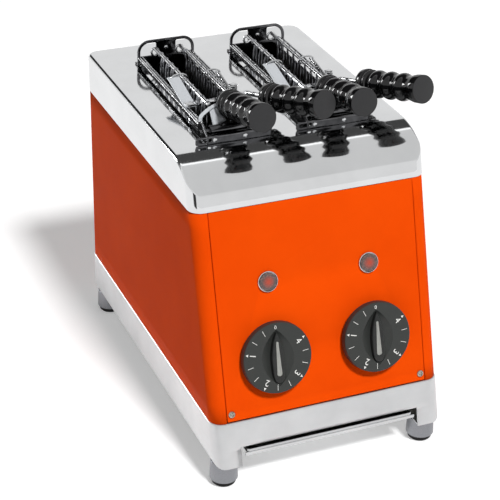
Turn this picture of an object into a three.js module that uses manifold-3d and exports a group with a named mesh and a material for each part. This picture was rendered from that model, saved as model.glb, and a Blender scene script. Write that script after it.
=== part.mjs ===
// A two-slot bar toaster with a pair of lift-out sandwich tongs.
// Millimetres, +Z up, front towards -Y, feet on z = 0.
import * as THREE from "three";
import { mergeVertices } from "three/addons/utils/BufferGeometryUtils.js";
import Module from "manifold-3d";

const wasm = await Module();
wasm.setup();

// Casing
const bodyWidth = 225;
const bodyDepth = 359; // along the lower edge of the plinth
const footHeight = 24; // floor to the lower edge of the plinth
const plinthHeight = 40.5;
const panelHeight = 184.5; // upright height of the painted part
const coverHeight = 37;
const frontSetback = 52; // how far the front leans back over the panel height
const cornerRadius = 12; // upright corners, in plan
const seatGap = 0.3; // between pieces that touch
const cutOver = 5; // how far a cut runs past the face that it opens

// Plinth, base plate and crumb tray
const plinthWall = 1.5;
const plinthLedge = 14; // inward fold along the upper edge
const plinthCornerDrop = 7; // rounding of the lower corners, in front view
const legWidth = 25; // on both sides of the tray's notch
const notchHeight = 17.5;
const gussetWidth = 27;
const gussetLength = 42;
const baseWall = 1.5;
const baseWindowMargin = 6; // base plate ledge under each heat chamber
const runnerWall = 1.2;
const runnerLip = 7;
const runnerDrop = 9.3;
const traySideGap = 5.5; // inside the notch, on both sides
const trayBackMargin = 41; // short of the casing's depth
const trayDepth = 5.5;
const trayWall = 1;
const trayLipHeight = 3.4;
const trayLipSideGap = 3.5;

// Feet
const footRadius = 13;
const footTopRadius = 12.2;
const footInsetX = 13.5;
const footInsetY = 17;
const cupWall = 1.6;
const padHeight = 9;
const padShow = 5.5; // what stands out below the metal cup
const padEdge = 1.6;

// Painted wrapper and front panel
const wrapperInset = 0.6;
const wrapperWall = 1.2;
const cornerBand = 15;
const panelWall = 1.5;
const seamGap = 0.5;
const flangeWidth = 9;
const screwInsetX = 4.3;
const screwRise = 8;
const screwHeadRadius = 3.2;
const screwHeadHeight = 1.9;
const screwShankRadius = 1.7;
const screwLength = 9;
const screwSlotWidth = 0.9;
const screwSlotDepth = 0.9;

// Mirror-finished cover
const coverWall = 1.2;
const coverSideRadius = 3;
const coverFrontRadius = 60; // sweep from the flat down to the skirt
const coverSkirt = 13; // upright height of the edge below the sweep
const coverBackRadius = 3;
const chamberSideMargin = 18; // casing to the outer wall of a heat chamber
const slotWidth = 50;
const slotBackInset = 52; // from the casing's back
const slotFrontInset = 7.05; // behind the start of the sweep
const slotCornerRadius = 3;

// Slot frames
const frameMargin = 4; // from the slot's edge to the frame's outer side
const railWidth = 5.3;
const railHeight = 4.8;
const railTop = 9.5; // above the cover
const railGroove = 1.4;
const railGrooveDepth = 1.6;
const railLipWidth = 1.2;
const bracketWall = 1.5;
const bracketInset = 2; // from the slot's back edge
const bracketRise = 23;
const bracketCorner = 11;
const bracketPost = 3.3;
const bracketPlateWidth = 20;
const bracketTongueWidth = 15;
const bracketTongueDrop = 12; // below the cover's upper face
const bracketBar = 3.2;
const bracketHoleRadius = 1.8;
const bracketFootLength = 8;
const cheekTop = 15;
const cheekSetback = 15;
const cheekNoseSetback = 2;
const railSetback = 21; // this and the next are from the slot's front edge, backwards
const railSeatLength = 10;
const frontPlateAhead = 6; // ahead of the slot's front edge
const frontPlateRise = 7.5;
const frontWindowWidth = 12;
const frontWindowHeight = 3.6;
const frontPlateOverhang = 12; // past the frame's left side
const frontWindowX = -32; // from the slot's middle
const rivetRadius = 2.2;
const rivetGap = 3; // window's edge to the first rivet
const rivetPitch = 28.5;
const rivetHeight = 1;
const restBarRadius = 5;
const restBarSetback = 8;
const restBarAxisRise = 6.4;
const restBarPinRadius = 2;
const restBarPinLength = 3;

// Heat chambers
const chamberGap = 2; // between the two chambers
const chamberFrontMargin = 7;
const chamberBackMargin = 10;
const chamberWall = 1;
const heaterRadius = 4;
const heaterInset = 8.5;
const heaterCount = 3;
const heaterRise = 60; // lowest tube above the base plate
const heaterPitch = 58;
const holderThickness = 3;
const holderWidth = 12;
const holderMargin = 12;

// Front controls
const knobRise = 54; // up the sloping panel from its lower edge
const lampRise = 122;
const dialRadius = 32.7;
const dialThickness = 7;
const dialChamfer = 1.6;
const dialLift = 2;
const gripLength = 47;
const gripTip = 24; // from the knob's axis to the pointed end
const gripWidth = 11.5;
const gripTopWidth = 8.6;
const gripTopLength = 45;
const gripHeight = 1.5; // above the dial's face
const scoopWidth = 31; // hollow on both sides of the grip
const scoopLength = 54;
const scoopDepth = 4.6;
const inlayThickness = 0.8;
const inlayLength = 32;
const inlayWidth = 5;
const inlayTipWidth = 2;
const inlayTip = 15.5; // from the knob's axis
const shaftRadius = 3;
const shaftLength = 19;
const shaftStart = -12;
const timerWidth = 42;
const timerHeight = 46;
const timerDepth = 34;
const timerCorner = 5;
const timerNeckRadius = 6;
const timerNeckLength = 3;
const lampRadius = 9.7;
const lampBodyRadius = 6.2;
const lampBodyLength = 26;
const bezelHeight = 1.8;
const bezelRim = 0.9;
const bezelFloor = 0.6;
const lensRadius = 8.2;
const lensHeight = 2.1;
const lensSeat = 1;

// Cable gland on the back
const glandInset = 45; // from the casing's side
const glandRise = 25; // above the plinth
const glandBore = 4;
const glandRadius = 10;
const glandLength = 16;
const glandThreadRadius = 7.5;

// Tongs
const rodRadius = 1.9;
const rodHalfGap = 12.6;
const tongShift = -1.2; // the middle of the two rods, from the slot's middle
const rodRise = 19.5; // above the cover
const rodBackInset = 9; // from the slot's back edge
const rodFrontSetback = 33; // from the slot's front edge
const gridDrop = 130; // rod to the lower wire
const combRadius = 1;
const combFrontMargin = 3.5;
const combBackMargin = 17.5;
const combCount = 10;
const lowerRodRadius = 1.5;
const eyeRadius = 3.6;
const eyeWire = 1.1;
const stripWidth = 11.5;
const stripThickness = 1.8;
const stripInset = 8.9; // from the rod's axis
const stripTail = 2.5; // behind the link
const crossFrontReach = 5; // ahead of the pivot
const crossBackReach = 2; // behind the pivot
const crossThickness = 2.4;
const crossOverhang = 2; // short of the frame's outer side
const pivotInset = 7.4; // past the rods' half gap
const pivotSetback = 60; // from the slot's front edge
const pivotEyeRadius = 6;
const pinRadius = 2;
const pinHeadRadius = 4.2;
const pinHeadHeight = 1.5;
const leverThickness = 2.4;
const leverWidth = 8;
const tabDrop = 8;
const tabLength = 7;
const ringBehind = 40; // behind the pivot
const ringHalfWidth = 7.6;
const ringHalfHeight = 3.8;
const ringWire = 0.8;
const strapWidth = 3.2;
const strapThickness = 1.6;
const strapFootX = -27.5;
const strapSetback = 19;
const strapShoulderX = -19;
const strapShoulderSetback = 23;
const strapCrossSetback = 34; // halfway from the rod to the stem
const strapEndSetback = 40;
const neckRadius = 2.4;
const stemRadius = 3;
const stemInHandle = 26;
const springRadius = 3.4;
const springWire = 0.55;
const springTurns = 3.5;
const springPitch = 1.7;
const springLeg = 7;
const postRadius = 0.8;
const postMargin = 1.6;

// Handles
const handleLength = 78;
const handleCollarRadius = 13.2;
const handleCollarLength = 12;
const handleBulgeRadius = 12.8;
const handleWaistRadius = 10.7;
const handleBulges = 3;
const handleBulgePitch = 16.5;
const handleEndRadius = 12.8;
const handleEndLength = 5;
const handleAX = 3;
const handleBaseShare = 0.4; // of the slots' spacing, from the fixed handle to the moving one
const handleSetback = 27; // from the slot's front edge
const handleRise = 21.5; // above the cover
const handleATilt = THREE.MathUtils.degToRad(13);
const handleBTilt = THREE.MathUtils.degToRad(14.5);
const handleSplayShare = 0.22; // of the same spacing, base to end of the moving handle

// Facets
const mergeShare = 1e-7; // of the body's width
const roundSides = 16;
const cornerSides = 4;
const wireSides = 6;
const pinSides = 10;

// Levels and slopes that follow from the sizes above
const plinthTop = footHeight + plinthHeight;
const coverBottom = plinthTop + panelHeight;
const coverTop = coverBottom + coverHeight;
const lean = Math.atan2(frontSetback, panelHeight);
const halfWidth = bodyWidth / 2;
const halfDepth = bodyDepth / 2;
const frontY = (z) => -halfDepth + (z - footHeight) * Math.tan(lean);
const panelWidth = bodyWidth - 2 * cornerBand;
const controlX = panelWidth / 4; // each dial in the middle of its half of the panel
const notchWidth = bodyWidth - 2 * legWidth;
const trayWidth = notchWidth - 2 * traySideGap;
const trayLipWidth = notchWidth - 2 * trayLipSideGap;
const trayLength = bodyDepth - trayBackMargin;
const chamberWidth = (bodyWidth - 2 * chamberSideMargin - chamberGap) / 2;
const slotPitch = chamberWidth + chamberGap;

// Where the cover's sweep begins and how far it turns to the skirt, for a skin drawn in by inset
function coverCurve(inset) {
  const radius = coverFrontRadius - inset;
  const front = frontY(coverBottom) + inset / Math.cos(lean);
  const turn = Math.acos(1 - (coverHeight - coverSkirt) / coverFrontRadius);
  const centreY = frontY(coverBottom + coverSkirt) + coverFrontRadius * Math.sin(turn);
  const centreRise = coverHeight - coverFrontRadius;
  const reach = (centreY - front) * Math.cos(lean) - centreRise * Math.sin(lean);
  const sweep = Math.asin(reach / radius) - lean;
  return { front, radius, centreY, sweep };
}

// Places along the slots
const slotFront = coverCurve(0).centreY + slotFrontInset;
const slotBack = halfDepth - slotBackInset;
const bracketBack = slotBack - bracketInset;
const railFront = slotFront + railSetback;
const cheekBack = slotFront + cheekSetback;
const cheekFront = slotFront + cheekNoseSetback;
const frontPlateY = slotFront - frontPlateAhead;
const restBarY = slotFront + restBarSetback;
const chamberFront = slotFront - chamberFrontMargin;
const chamberBack = slotBack + chamberBackMargin;
const rodFront = slotFront + rodFrontSetback;
const rodBack = slotBack - rodBackInset;
const combFirst = rodFront + combFrontMargin;
const combPitch = (rodBack - combBackMargin - combFirst) / (combCount - 1);
const pivotY = slotFront + pivotSetback;
const crossFront = pivotY - crossFrontReach;
const crossBack = pivotY + crossBackReach;
const ringY = pivotY + ringBehind;
const stripBack = ringY + stripTail;
const strapFront = slotFront + strapSetback;
const strapShoulderY = slotFront + strapShoulderSetback;
const strapCrossY = slotFront + strapCrossSetback;
const strapEndY = slotFront + strapEndSetback;
const handleBaseY = slotFront + handleSetback;

// Places across the slots, from each slot's middle, and levels above the cover
const frameWidth = slotWidth + 2 * frameMargin;
const crossLeft = crossOverhang - frameWidth / 2;
const rodX = (side) => side * rodHalfGap + tongShift;
const stripX = rodX(-1) - stripInset;
const pivotX = rodHalfGap + pivotInset;
const rodZ = coverTop + rodRise;
const gridBottom = rodZ - gridDrop;
const handleBaseZ = coverTop + handleRise;
const handleBX = handleAX + slotPitch * handleBaseShare;
const handleBSplay = Math.asin((slotPitch * handleSplayShare) / (handleLength * Math.cos(handleBTilt)));
const glandX = glandInset - halfWidth;
const glandZ = plinthTop + glandRise;
const basePlateLow = footHeight + notchHeight + seatGap;
const heaterLowest = basePlateLow + heaterRise;

// Solids from geometry, and back

function solidOf(geometry) {
  const bare = new THREE.BufferGeometry();
  bare.setAttribute("position", geometry.getAttribute("position"));
  if (geometry.index) bare.setIndex(geometry.index);
  const merged = mergeVertices(bare, bodyWidth * mergeShare);
  const corners = Array.from(merged.index.array);
  const make = () =>
    new wasm.Manifold(
      new wasm.Mesh({
        numProp: 3,
        vertProperties: merged.attributes.position.array,
        triVerts: new Uint32Array(corners),
      }),
    );
  const solid = make();
  if (solid.volume() > 0) return solid;
  for (let i = 0; i < corners.length; i += 3) {
    [corners[i + 1], corners[i + 2]] = [corners[i + 2], corners[i + 1]];
  }
  return make();
}

function geometryOf(solid) {
  const mesh = solid.getMesh();
  const geometry = new THREE.BufferGeometry();
  geometry.setAttribute("position", new THREE.BufferAttribute(mesh.vertProperties, 3));
  geometry.setIndex(new THREE.BufferAttribute(mesh.triVerts, 1));
  return geometry;
}

const join = (...solids) => solids.reduce((sum, next) => sum.add(next));
const cut = (solid, ...tools) => tools.reduce((rest, tool) => rest.subtract(tool), solid);
const common = (...solids) => solids.reduce((rest, next) => rest.intersect(next));

function box([x0, y0, z0], [x1, y1, z1]) {
  const geometry = new THREE.BoxGeometry(x1 - x0, y1 - y0, z1 - z0);
  geometry.translate((x0 + x1) / 2, (y0 + y1) / 2, (z0 + z1) / 2);
  return solidOf(geometry);
}

// A closed body through rings of points that all run anticlockwise seen from its far end.
function loft(rings) {
  const count = rings[0].length;
  const points = rings.flat(2);
  const faces = [];
  for (let ring = 0; ring + 1 < rings.length; ring++) {
    for (let i = 0; i < count; i++) {
      const a = ring * count + i;
      const b = ring * count + ((i + 1) % count);
      faces.push(a, b, b + count, a, b + count, a + count);
    }
  }
  const last = (rings.length - 1) * count;
  for (let i = 1; i + 1 < count; i++) {
    faces.push(0, i + 1, i, last, last + i, last + i + 1);
  }
  const geometry = new THREE.BufferGeometry();
  geometry.setAttribute("position", new THREE.Float32BufferAttribute(points, 3));
  geometry.setIndex(faces);
  return solidOf(geometry);
}

// A straight round bar between two points, tapered if a second radius is given.
function bar(from, to, radius, sides = wireSides, endRadius = radius) {
  const start = new THREE.Vector3(...from);
  const along = new THREE.Vector3(...to).sub(start);
  const geometry = new THREE.CylinderGeometry(endRadius, radius, along.length(), sides);
  geometry.translate(0, along.length() / 2, 0);
  const up = new THREE.Vector3(0, 1, 0);
  geometry.applyQuaternion(new THREE.Quaternion().setFromUnitVectors(up, along.normalize()));
  geometry.translate(...start);
  return solidOf(geometry);
}

// A profile of [radius, height] pairs turned about the Z axis; it starts and ends on the axis or closes.
function turned(profile, sides = roundSides) {
  const points = profile.map(([radius, height]) => new THREE.Vector2(radius, height));
  const geometry = new THREE.LatheGeometry(points, sides);
  geometry.rotateX(Math.PI / 2);
  return solidOf(geometry);
}

// A flat outline in the XY plane raised from one height to another.
function raised(shape, low, high, segments = cornerSides) {
  const options = { depth: high - low, bevelEnabled: false, curveSegments: segments };
  const geometry = new THREE.ExtrudeGeometry(shape, options);
  geometry.translate(0, 0, low);
  return solidOf(geometry);
}

// The same outline read as X and Z, carried from one Y to another.
function raisedAlongY(shape, low, high, segments = cornerSides) {
  const options = { depth: high - low, bevelEnabled: false, curveSegments: segments };
  const geometry = new THREE.ExtrudeGeometry(shape, options);
  geometry.rotateX(Math.PI / 2);
  geometry.translate(0, high, 0);
  return solidOf(geometry);
}

// The same outline read as Y and Z, carried from one X to another.
function raisedAlongX(shape, low, high, segments = cornerSides) {
  const options = { depth: high - low, bevelEnabled: false, curveSegments: segments };
  const geometry = new THREE.ExtrudeGeometry(shape, options);
  geometry.applyMatrix4(
    new THREE.Matrix4().makeBasis(
      new THREE.Vector3(0, 1, 0),
      new THREE.Vector3(0, 0, 1),
      new THREE.Vector3(1, 0, 0),
    ),
  );
  geometry.translate(low, 0, 0);
  return solidOf(geometry);
}

function outline(points) {
  return new THREE.Shape(points.map(([x, y]) => new THREE.Vector2(x, y)));
}

function roundedRectangle(x0, y0, x1, y1, radius, Kind = THREE.Shape) {
  const shape = new Kind();
  shape.absarc(x1 - radius, y0 + radius, radius, -Math.PI / 2, 0);
  shape.absarc(x1 - radius, y1 - radius, radius, 0, Math.PI / 2);
  shape.absarc(x0 + radius, y1 - radius, radius, Math.PI / 2, Math.PI);
  shape.absarc(x0 + radius, y0 + radius, radius, Math.PI, (3 * Math.PI) / 2);
  shape.closePath();
  return shape;
}

// A rectangular section carried along a smooth curve.
function strapAlong(points, width, thickness, steps) {
  const path = new THREE.CatmullRomCurve3(points.map((p) => new THREE.Vector3(...p)));
  const section = roundedRectangle(
    -thickness / 2,
    -width / 2,
    thickness / 2,
    width / 2,
    thickness / 4,
  );
  const geometry = new THREE.ExtrudeGeometry(section, {
    extrudePath: path,
    steps,
    curveSegments: 1,
  });
  return solidOf(geometry);
}

// A plan outline of the casing at height z, drawn in by inset, anticlockwise from above.
function planRing(z, inset, radius = cornerRadius) {
  const round = Math.max(radius - inset, inset);
  const x = halfWidth - inset - round;
  const back = halfDepth - inset - round;
  const front = frontY(z) + inset / Math.cos(lean) + round;
  const centres = [
    [x, front, -Math.PI / 2],
    [x, back, 0],
    [-x, back, Math.PI / 2],
    [-x, front, Math.PI],
  ];
  const points = [];
  for (const [cx, cy, start] of centres) {
    for (let i = 0; i <= cornerSides; i++) {
      const angle = start + ((Math.PI / 2) * i) / cornerSides;
      points.push([cx + round * Math.cos(angle), cy + round * Math.sin(angle), z]);
    }
  }
  return points;
}

const casing = (low, high, inset) => loft([planRing(low, inset), planRing(high, inset)]);

function mesh(name, shape, colour, roughness, metalness) {
  const geometry = shape.isBufferGeometry ? shape : geometryOf(shape);
  const material = new THREE.MeshStandardMaterial({ color: colour, roughness, metalness });
  const made = new THREE.Mesh(geometry, material);
  made.name = name;
  return made;
}

// Finishes of the photographed object
const satinSteel = ["#c9cacb", 0.35, 1];
const mirrorSteel = ["#dedfe0", 0.08, 1];
const chromeWire = ["#d5d6d7", 0.15, 1];
const rawSteel = ["#9a9c9e", 0.5, 1];
const orangePaint = ["#f24e0c", 0.35, 0];
const blackBakelite = ["#0e0e0f", 0.12, 0];
const dialPlastic = ["#3b3d3b", 0.5, 0];
const inlayPaint = ["#9c9d98", 0.45, 0.2];
const blackRubber = ["#1c1c1c", 0.8, 0];
const castGrey = ["#8f9192", 0.45, 0.6];
const amberLens = ["#c8452a", 0.2, 0];
const quartz = ["#e8e4dc", 0.2, 0];
const blackPlastic = ["#202122", 0.6, 0];

// Plinth: a folded frame with a ledge above, a notch for the tray and gussets for the feet.
function plinth() {
  const shell = cut(
    casing(footHeight, plinthTop, 0),
    casing(footHeight - cutOver, plinthTop - plinthWall, plinthWall),
    casing(plinthTop - cutOver, plinthTop + cutOver, plinthLedge),
  );
  const gussets = [-1, 1].flatMap((side) =>
    [-1, 1].map((end) => {
      const outerX = side * (halfWidth - plinthWall / 2);
      const innerX = side * (halfWidth - gussetWidth);
      const outerY = end * (halfDepth - plinthWall / 2);
      const innerY = end * (halfDepth - gussetLength);
      return box(
        [Math.min(outerX, innerX), Math.min(outerY, innerY), footHeight],
        [Math.max(outerX, innerX), Math.max(outerY, innerY), footHeight + plinthWall],
      );
    }),
  );
  const folded = common(join(shell, ...gussets), casing(footHeight, plinthTop, 0));
  const notch = box(
    [-notchWidth / 2, -halfDepth - cutOver, footHeight - cutOver],
    [notchWidth / 2, -halfDepth + gussetLength - cutOver, footHeight + notchHeight],
  );
  const frontView = roundedRectangle(
    -halfWidth,
    footHeight,
    halfWidth,
    plinthTop + plinthCornerDrop * 2,
    plinthCornerDrop,
  );
  const rounded = raisedAlongY(frontView, -halfDepth - cutOver, halfDepth + cutOver);
  return common(cut(folded, notch), rounded);
}

// Base plate: the tray of sheet that closes the plinth, open under both heat chambers.
function basePlate() {
  const low = basePlateLow;
  const plate = casing(low, low + baseWall, plinthWall + seatGap);
  const windows = [-1, 1].map((side) => {
    const half = chamberWidth / 2 - baseWindowMargin;
    return box(
      [(side * slotPitch) / 2 - half, chamberFront + baseWindowMargin, low - cutOver],
      [(side * slotPitch) / 2 + half, chamberBack - baseWindowMargin, low + cutOver],
    );
  });
  const runners = [-1, 1].map((side) => {
    const inner = trayWidth / 2 + seatGap;
    const web = [side * inner, side * (inner + runnerWall)].sort((a, b) => a - b);
    const lip = [side * (inner + runnerWall), side * (inner - runnerLip)].sort((a, b) => a - b);
    const start = -halfDepth + gussetLength / 2;
    const end = start + trayLength - gussetLength / 2;
    return join(
      box([web[0], start, low - runnerDrop], [web[1], end, low + baseWall / 2]),
      box([lip[0], start, low - runnerDrop - runnerWall], [lip[1], end, low - runnerDrop]),
      box([web[0], start, low - runnerDrop - runnerWall], [web[1], end, low - runnerDrop + runnerWall]),
    );
  });
  return join(cut(plate, ...windows), ...runners);
}

// Crumb tray: a shallow pan whose front lip closes the lower half of the notch.
function crumbTray() {
  const low = basePlateLow - runnerDrop + seatGap;
  const front = frontY(low) + trayWall;
  const outer = box(
    [-trayWidth / 2, front, low],
    [trayWidth / 2, front + trayLength, low + trayDepth],
  );
  const inner = box(
    [-trayWidth / 2 + trayWall, front + trayWall, low + trayWall],
    [trayWidth / 2 - trayWall, front + trayLength - trayWall, low + trayDepth + cutOver],
  );
  const lip = box(
    [-trayLipWidth / 2, front - trayWall, low],
    [trayLipWidth / 2, front + trayWall / 2, low + trayLipHeight],
  );
  return join(cut(outer, inner), lip);
}

// Feet: a drawn metal cup with a rubber pad pressed into it.
function footCup() {
  const top = footHeight - seatGap;
  return turned([
    [0, top],
    [footTopRadius, top],
    [footRadius, padShow],
    [footRadius - cupWall, padShow],
    [footRadius - cupWall, padHeight + seatGap],
    [0, padHeight + seatGap],
  ]);
}

function footPad() {
  const radius = footRadius - cupWall - seatGap;
  return turned([
    [0, 0],
    [radius - padEdge, 0],
    [radius, padEdge],
    [radius, padHeight],
    [0, padHeight],
  ]);
}

// The frame of the sloping front: x across, y up the slope, z out of the panel.
function frontMatrix() {
  const across = new THREE.Vector3(1, 0, 0);
  const upSlope = new THREE.Vector3(0, Math.sin(lean), Math.cos(lean));
  const out = new THREE.Vector3(0, -Math.cos(lean), Math.sin(lean));
  const place = new THREE.Matrix4().makeBasis(across, upSlope, out);
  return place.setPosition(0, frontY(plinthTop), plinthTop);
}

const slopeLength = panelHeight / Math.cos(lean);
const onSlope = (solid) => solidOf(geometryOf(solid).applyMatrix4(frontMatrix()));

// Wrapper: sides, back and the rounded front corners, with a joggled flange behind the front panel.
function bodyWrapper() {
  const low = plinthTop + seatGap;
  const high = coverBottom - seatGap;
  const shell = cut(
    casing(low, high, wrapperInset),
    casing(low - cutOver, high + cutOver, wrapperInset + wrapperWall),
  );
  const opening = onSlope(
    box(
      [-panelWidth / 2 - seamGap, -cutOver, -wrapperInset - wrapperWall - cutOver],
      [panelWidth / 2 + seamGap, slopeLength + cutOver, cutOver],
    ),
  );
  const back = -wrapperInset - panelWall - seatGap;
  const flanges = [-1, 1].map((side) => {
    const edge = panelWidth / 2 + seamGap;
    const foldX = [side * edge, side * (edge + wrapperWall)].sort((a, b) => a - b);
    const stripX0 = [side * (edge + wrapperWall), side * (edge - flangeWidth)].sort((a, b) => a - b);
    const flangeLow = (wrapperWall - back) * Math.tan(lean) + seatGap * 2;
    const flangeHigh = slopeLength - seatGap * 2;
    return join(
      box([foldX[0], flangeLow, back - wrapperWall], [foldX[1], flangeHigh, -wrapperInset - wrapperWall / 2]),
      box([stripX0[0], flangeLow, back - wrapperWall], [stripX0[1], flangeHigh, back]),
    );
  });
  const holes = [-1, 1].map((side) => screwHole(side));
  const gland = bar(
    [glandX, halfDepth - cutOver, glandZ],
    [glandX, halfDepth + cutOver, glandZ],
    glandThreadRadius + seatGap,
    roundSides,
  );
  const joined = join(cut(shell, opening), ...flanges.map(onSlope));
  return cut(joined, ...holes.map(onSlope), gland);
}

function screwHole(side) {
  const x = side * (panelWidth / 2 - screwInsetX);
  return bar(
    [x, screwRise, -screwLength - cutOver],
    [x, screwRise, cutOver],
    screwShankRadius + seatGap,
    pinSides,
  );
}

// Front panel, drawn flat in the sloping frame.
function frontPanel() {
  const face = -wrapperInset;
  const plate = box(
    [-panelWidth / 2, (wrapperInset + panelWall) * Math.tan(lean) + seatGap * 2, face - panelWall],
    [panelWidth / 2, slopeLength - seatGap * 2, face],
  );
  const holes = [-1, 1].flatMap((side) => {
    const x = side * controlX;
    return [
      [knobRise, timerNeckRadius],
      [lampRise, lampBodyRadius],
    ].map(([y, radius]) =>
      bar([x, y, -cutOver], [x, y, cutOver], radius + seatGap, roundSides),
    );
  });
  return cut(plate, ...holes, screwHole(-1), screwHole(1));
}

function panelScrew() {
  const seat = -wrapperInset + seatGap;
  const head = turned([
    [0, seat - screwLength],
    [screwShankRadius, seat - screwLength],
    [screwShankRadius, seat],
    [screwHeadRadius, seat],
    [screwHeadRadius * Math.cos(Math.PI / 6), seat + screwHeadHeight / 2],
    [screwHeadRadius / 2, seat + screwHeadHeight],
    [0, seat + screwHeadHeight],
  ], pinSides);
  const reach = screwHeadRadius / Math.SQRT2;
  const floor = seat + screwHeadHeight - screwSlotDepth;
  const slots = [
    box([-reach, -screwSlotWidth / 2, floor], [reach, screwSlotWidth / 2, floor + cutOver]),
    box([-screwSlotWidth / 2, -reach, floor], [screwSlotWidth / 2, reach, floor + cutOver]),
  ];
  return cut(head, ...slots);
}

// Cover: one drawn sheet, swept down to a skirt in front, with both slots punched out.
function coverBody(inset) {
  const { front, radius, centreY, sweep } = coverCurve(inset);
  const top = coverTop - inset;
  const back = halfDepth - inset;
  const backRadius = coverBackRadius - inset;
  const low = coverBottom - (inset > 0 ? cutOver : 0);
  const side = new THREE.Shape();
  side.moveTo(front + (low - coverBottom) * Math.tan(lean), low);
  side.lineTo(back, low);
  side.absarc(back - backRadius, top - backRadius, backRadius, 0, Math.PI / 2);
  side.absarc(centreY, top - radius, radius, Math.PI / 2, Math.PI / 2 + sweep);
  side.closePath();
  const frontView = roundedRectangle(
    -halfWidth + inset,
    low - coverHeight,
    halfWidth - inset,
    top,
    coverSideRadius - inset,
  );
  return common(
    casing(low, coverTop, inset),
    raisedAlongX(side, -bodyWidth, bodyWidth, cornerSides * 2),
    raisedAlongY(frontView, -bodyDepth, bodyDepth),
  );
}

function topCover() {
  const slots = [-1, 1].map((side) => {
    const x = (side * slotPitch) / 2;
    const shape = roundedRectangle(
      x - slotWidth / 2,
      slotFront,
      x + slotWidth / 2,
      slotBack,
      slotCornerRadius,
    );
    return raised(shape, coverTop - coverHeight, coverTop + cutOver);
  });
  return cut(coverBody(0), coverBody(coverWall), ...slots);
}

// Slot frame rail: a folded channel that floats above the cover between two brackets.
function slotRail(side) {
  const outer = frameWidth / 2;
  const inner = outer - railWidth;
  const top = coverTop + railTop;
  const low = top - railHeight;
  const grooveStart = inner + railLipWidth;
  const profile = outline([
    [inner, low],
    [outer, low],
    [outer, top],
    [grooveStart + railGroove, top],
    [grooveStart + railGroove, top - railGrooveDepth],
    [grooveStart, top - railGrooveDepth],
    [grooveStart, top],
    [inner, top],
  ]);
  const start = railFront;
  const end = bracketBack - seatGap;
  const rail = raisedAlongY(profile, start, end);
  return side > 0 ? rail : rail.mirror([1, 0, 0]);
}

// Rear bracket: a stamped plate with two windows and a riveted tongue that hangs into the slot.
function rearBracket() {
  const half = frameWidth / 2;
  const foot = coverTop + seatGap;
  const top = coverTop + bracketRise;
  const barTop = coverTop + railTop;
  const barLow = barTop - bracketBar;
  const shape = new THREE.Shape();
  shape.moveTo(-half, foot);
  shape.lineTo(-half + bracketPost, foot);
  shape.lineTo(-half + bracketPost, barLow);
  shape.lineTo(-bracketTongueWidth / 2, barLow);
  shape.lineTo(-bracketTongueWidth / 2, coverTop - bracketTongueDrop);
  shape.lineTo(bracketTongueWidth / 2, coverTop - bracketTongueDrop);
  shape.lineTo(bracketTongueWidth / 2, barLow);
  shape.lineTo(half - bracketPost, barLow);
  shape.lineTo(half - bracketPost, foot);
  shape.lineTo(half, foot);
  shape.absarc(half - bracketCorner, top - bracketCorner, bracketCorner, 0, Math.PI / 2);
  shape.absarc(bracketCorner - half, top - bracketCorner, bracketCorner, Math.PI / 2, Math.PI);
  shape.closePath();
  const openings = [-1, 1].map((side) => {
    const inner = bracketPlateWidth / 2;
    const outer = half - bracketPost;
    const radius = bracketCorner - bracketPost;
    const hole = new THREE.Shape();
    hole.moveTo(inner, barTop);
    hole.lineTo(outer, barTop);
    hole.absarc(outer - radius, top - bracketPost - radius, radius, 0, Math.PI / 2);
    hole.lineTo(inner, top - bracketPost);
    hole.closePath();
    const window = raisedAlongY(hole, bracketBack - cutOver, bracketBack + cutOver);
    return side > 0 ? window : window.mirror([1, 0, 0]);
  });
  const holes = [(top + barTop) / 2, coverTop + bracketHoleRadius].map((z) =>
    bar([0, bracketBack - cutOver, z], [0, bracketBack + cutOver, z], bracketHoleRadius, pinSides),
  );
  const plate = cut(
    raisedAlongY(shape, bracketBack, bracketBack + bracketWall),
    ...openings,
    ...holes,
  );
  const feet = [-1, 1].map((side) => {
    const xs = [side * half, side * (half - bracketPost)].sort((a, b) => a - b);
    return box(
      [xs[0], bracketBack, foot],
      [xs[1], bracketBack + bracketFootLength, foot + bracketWall],
    );
  });
  return join(plate, ...feet);
}

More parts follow.
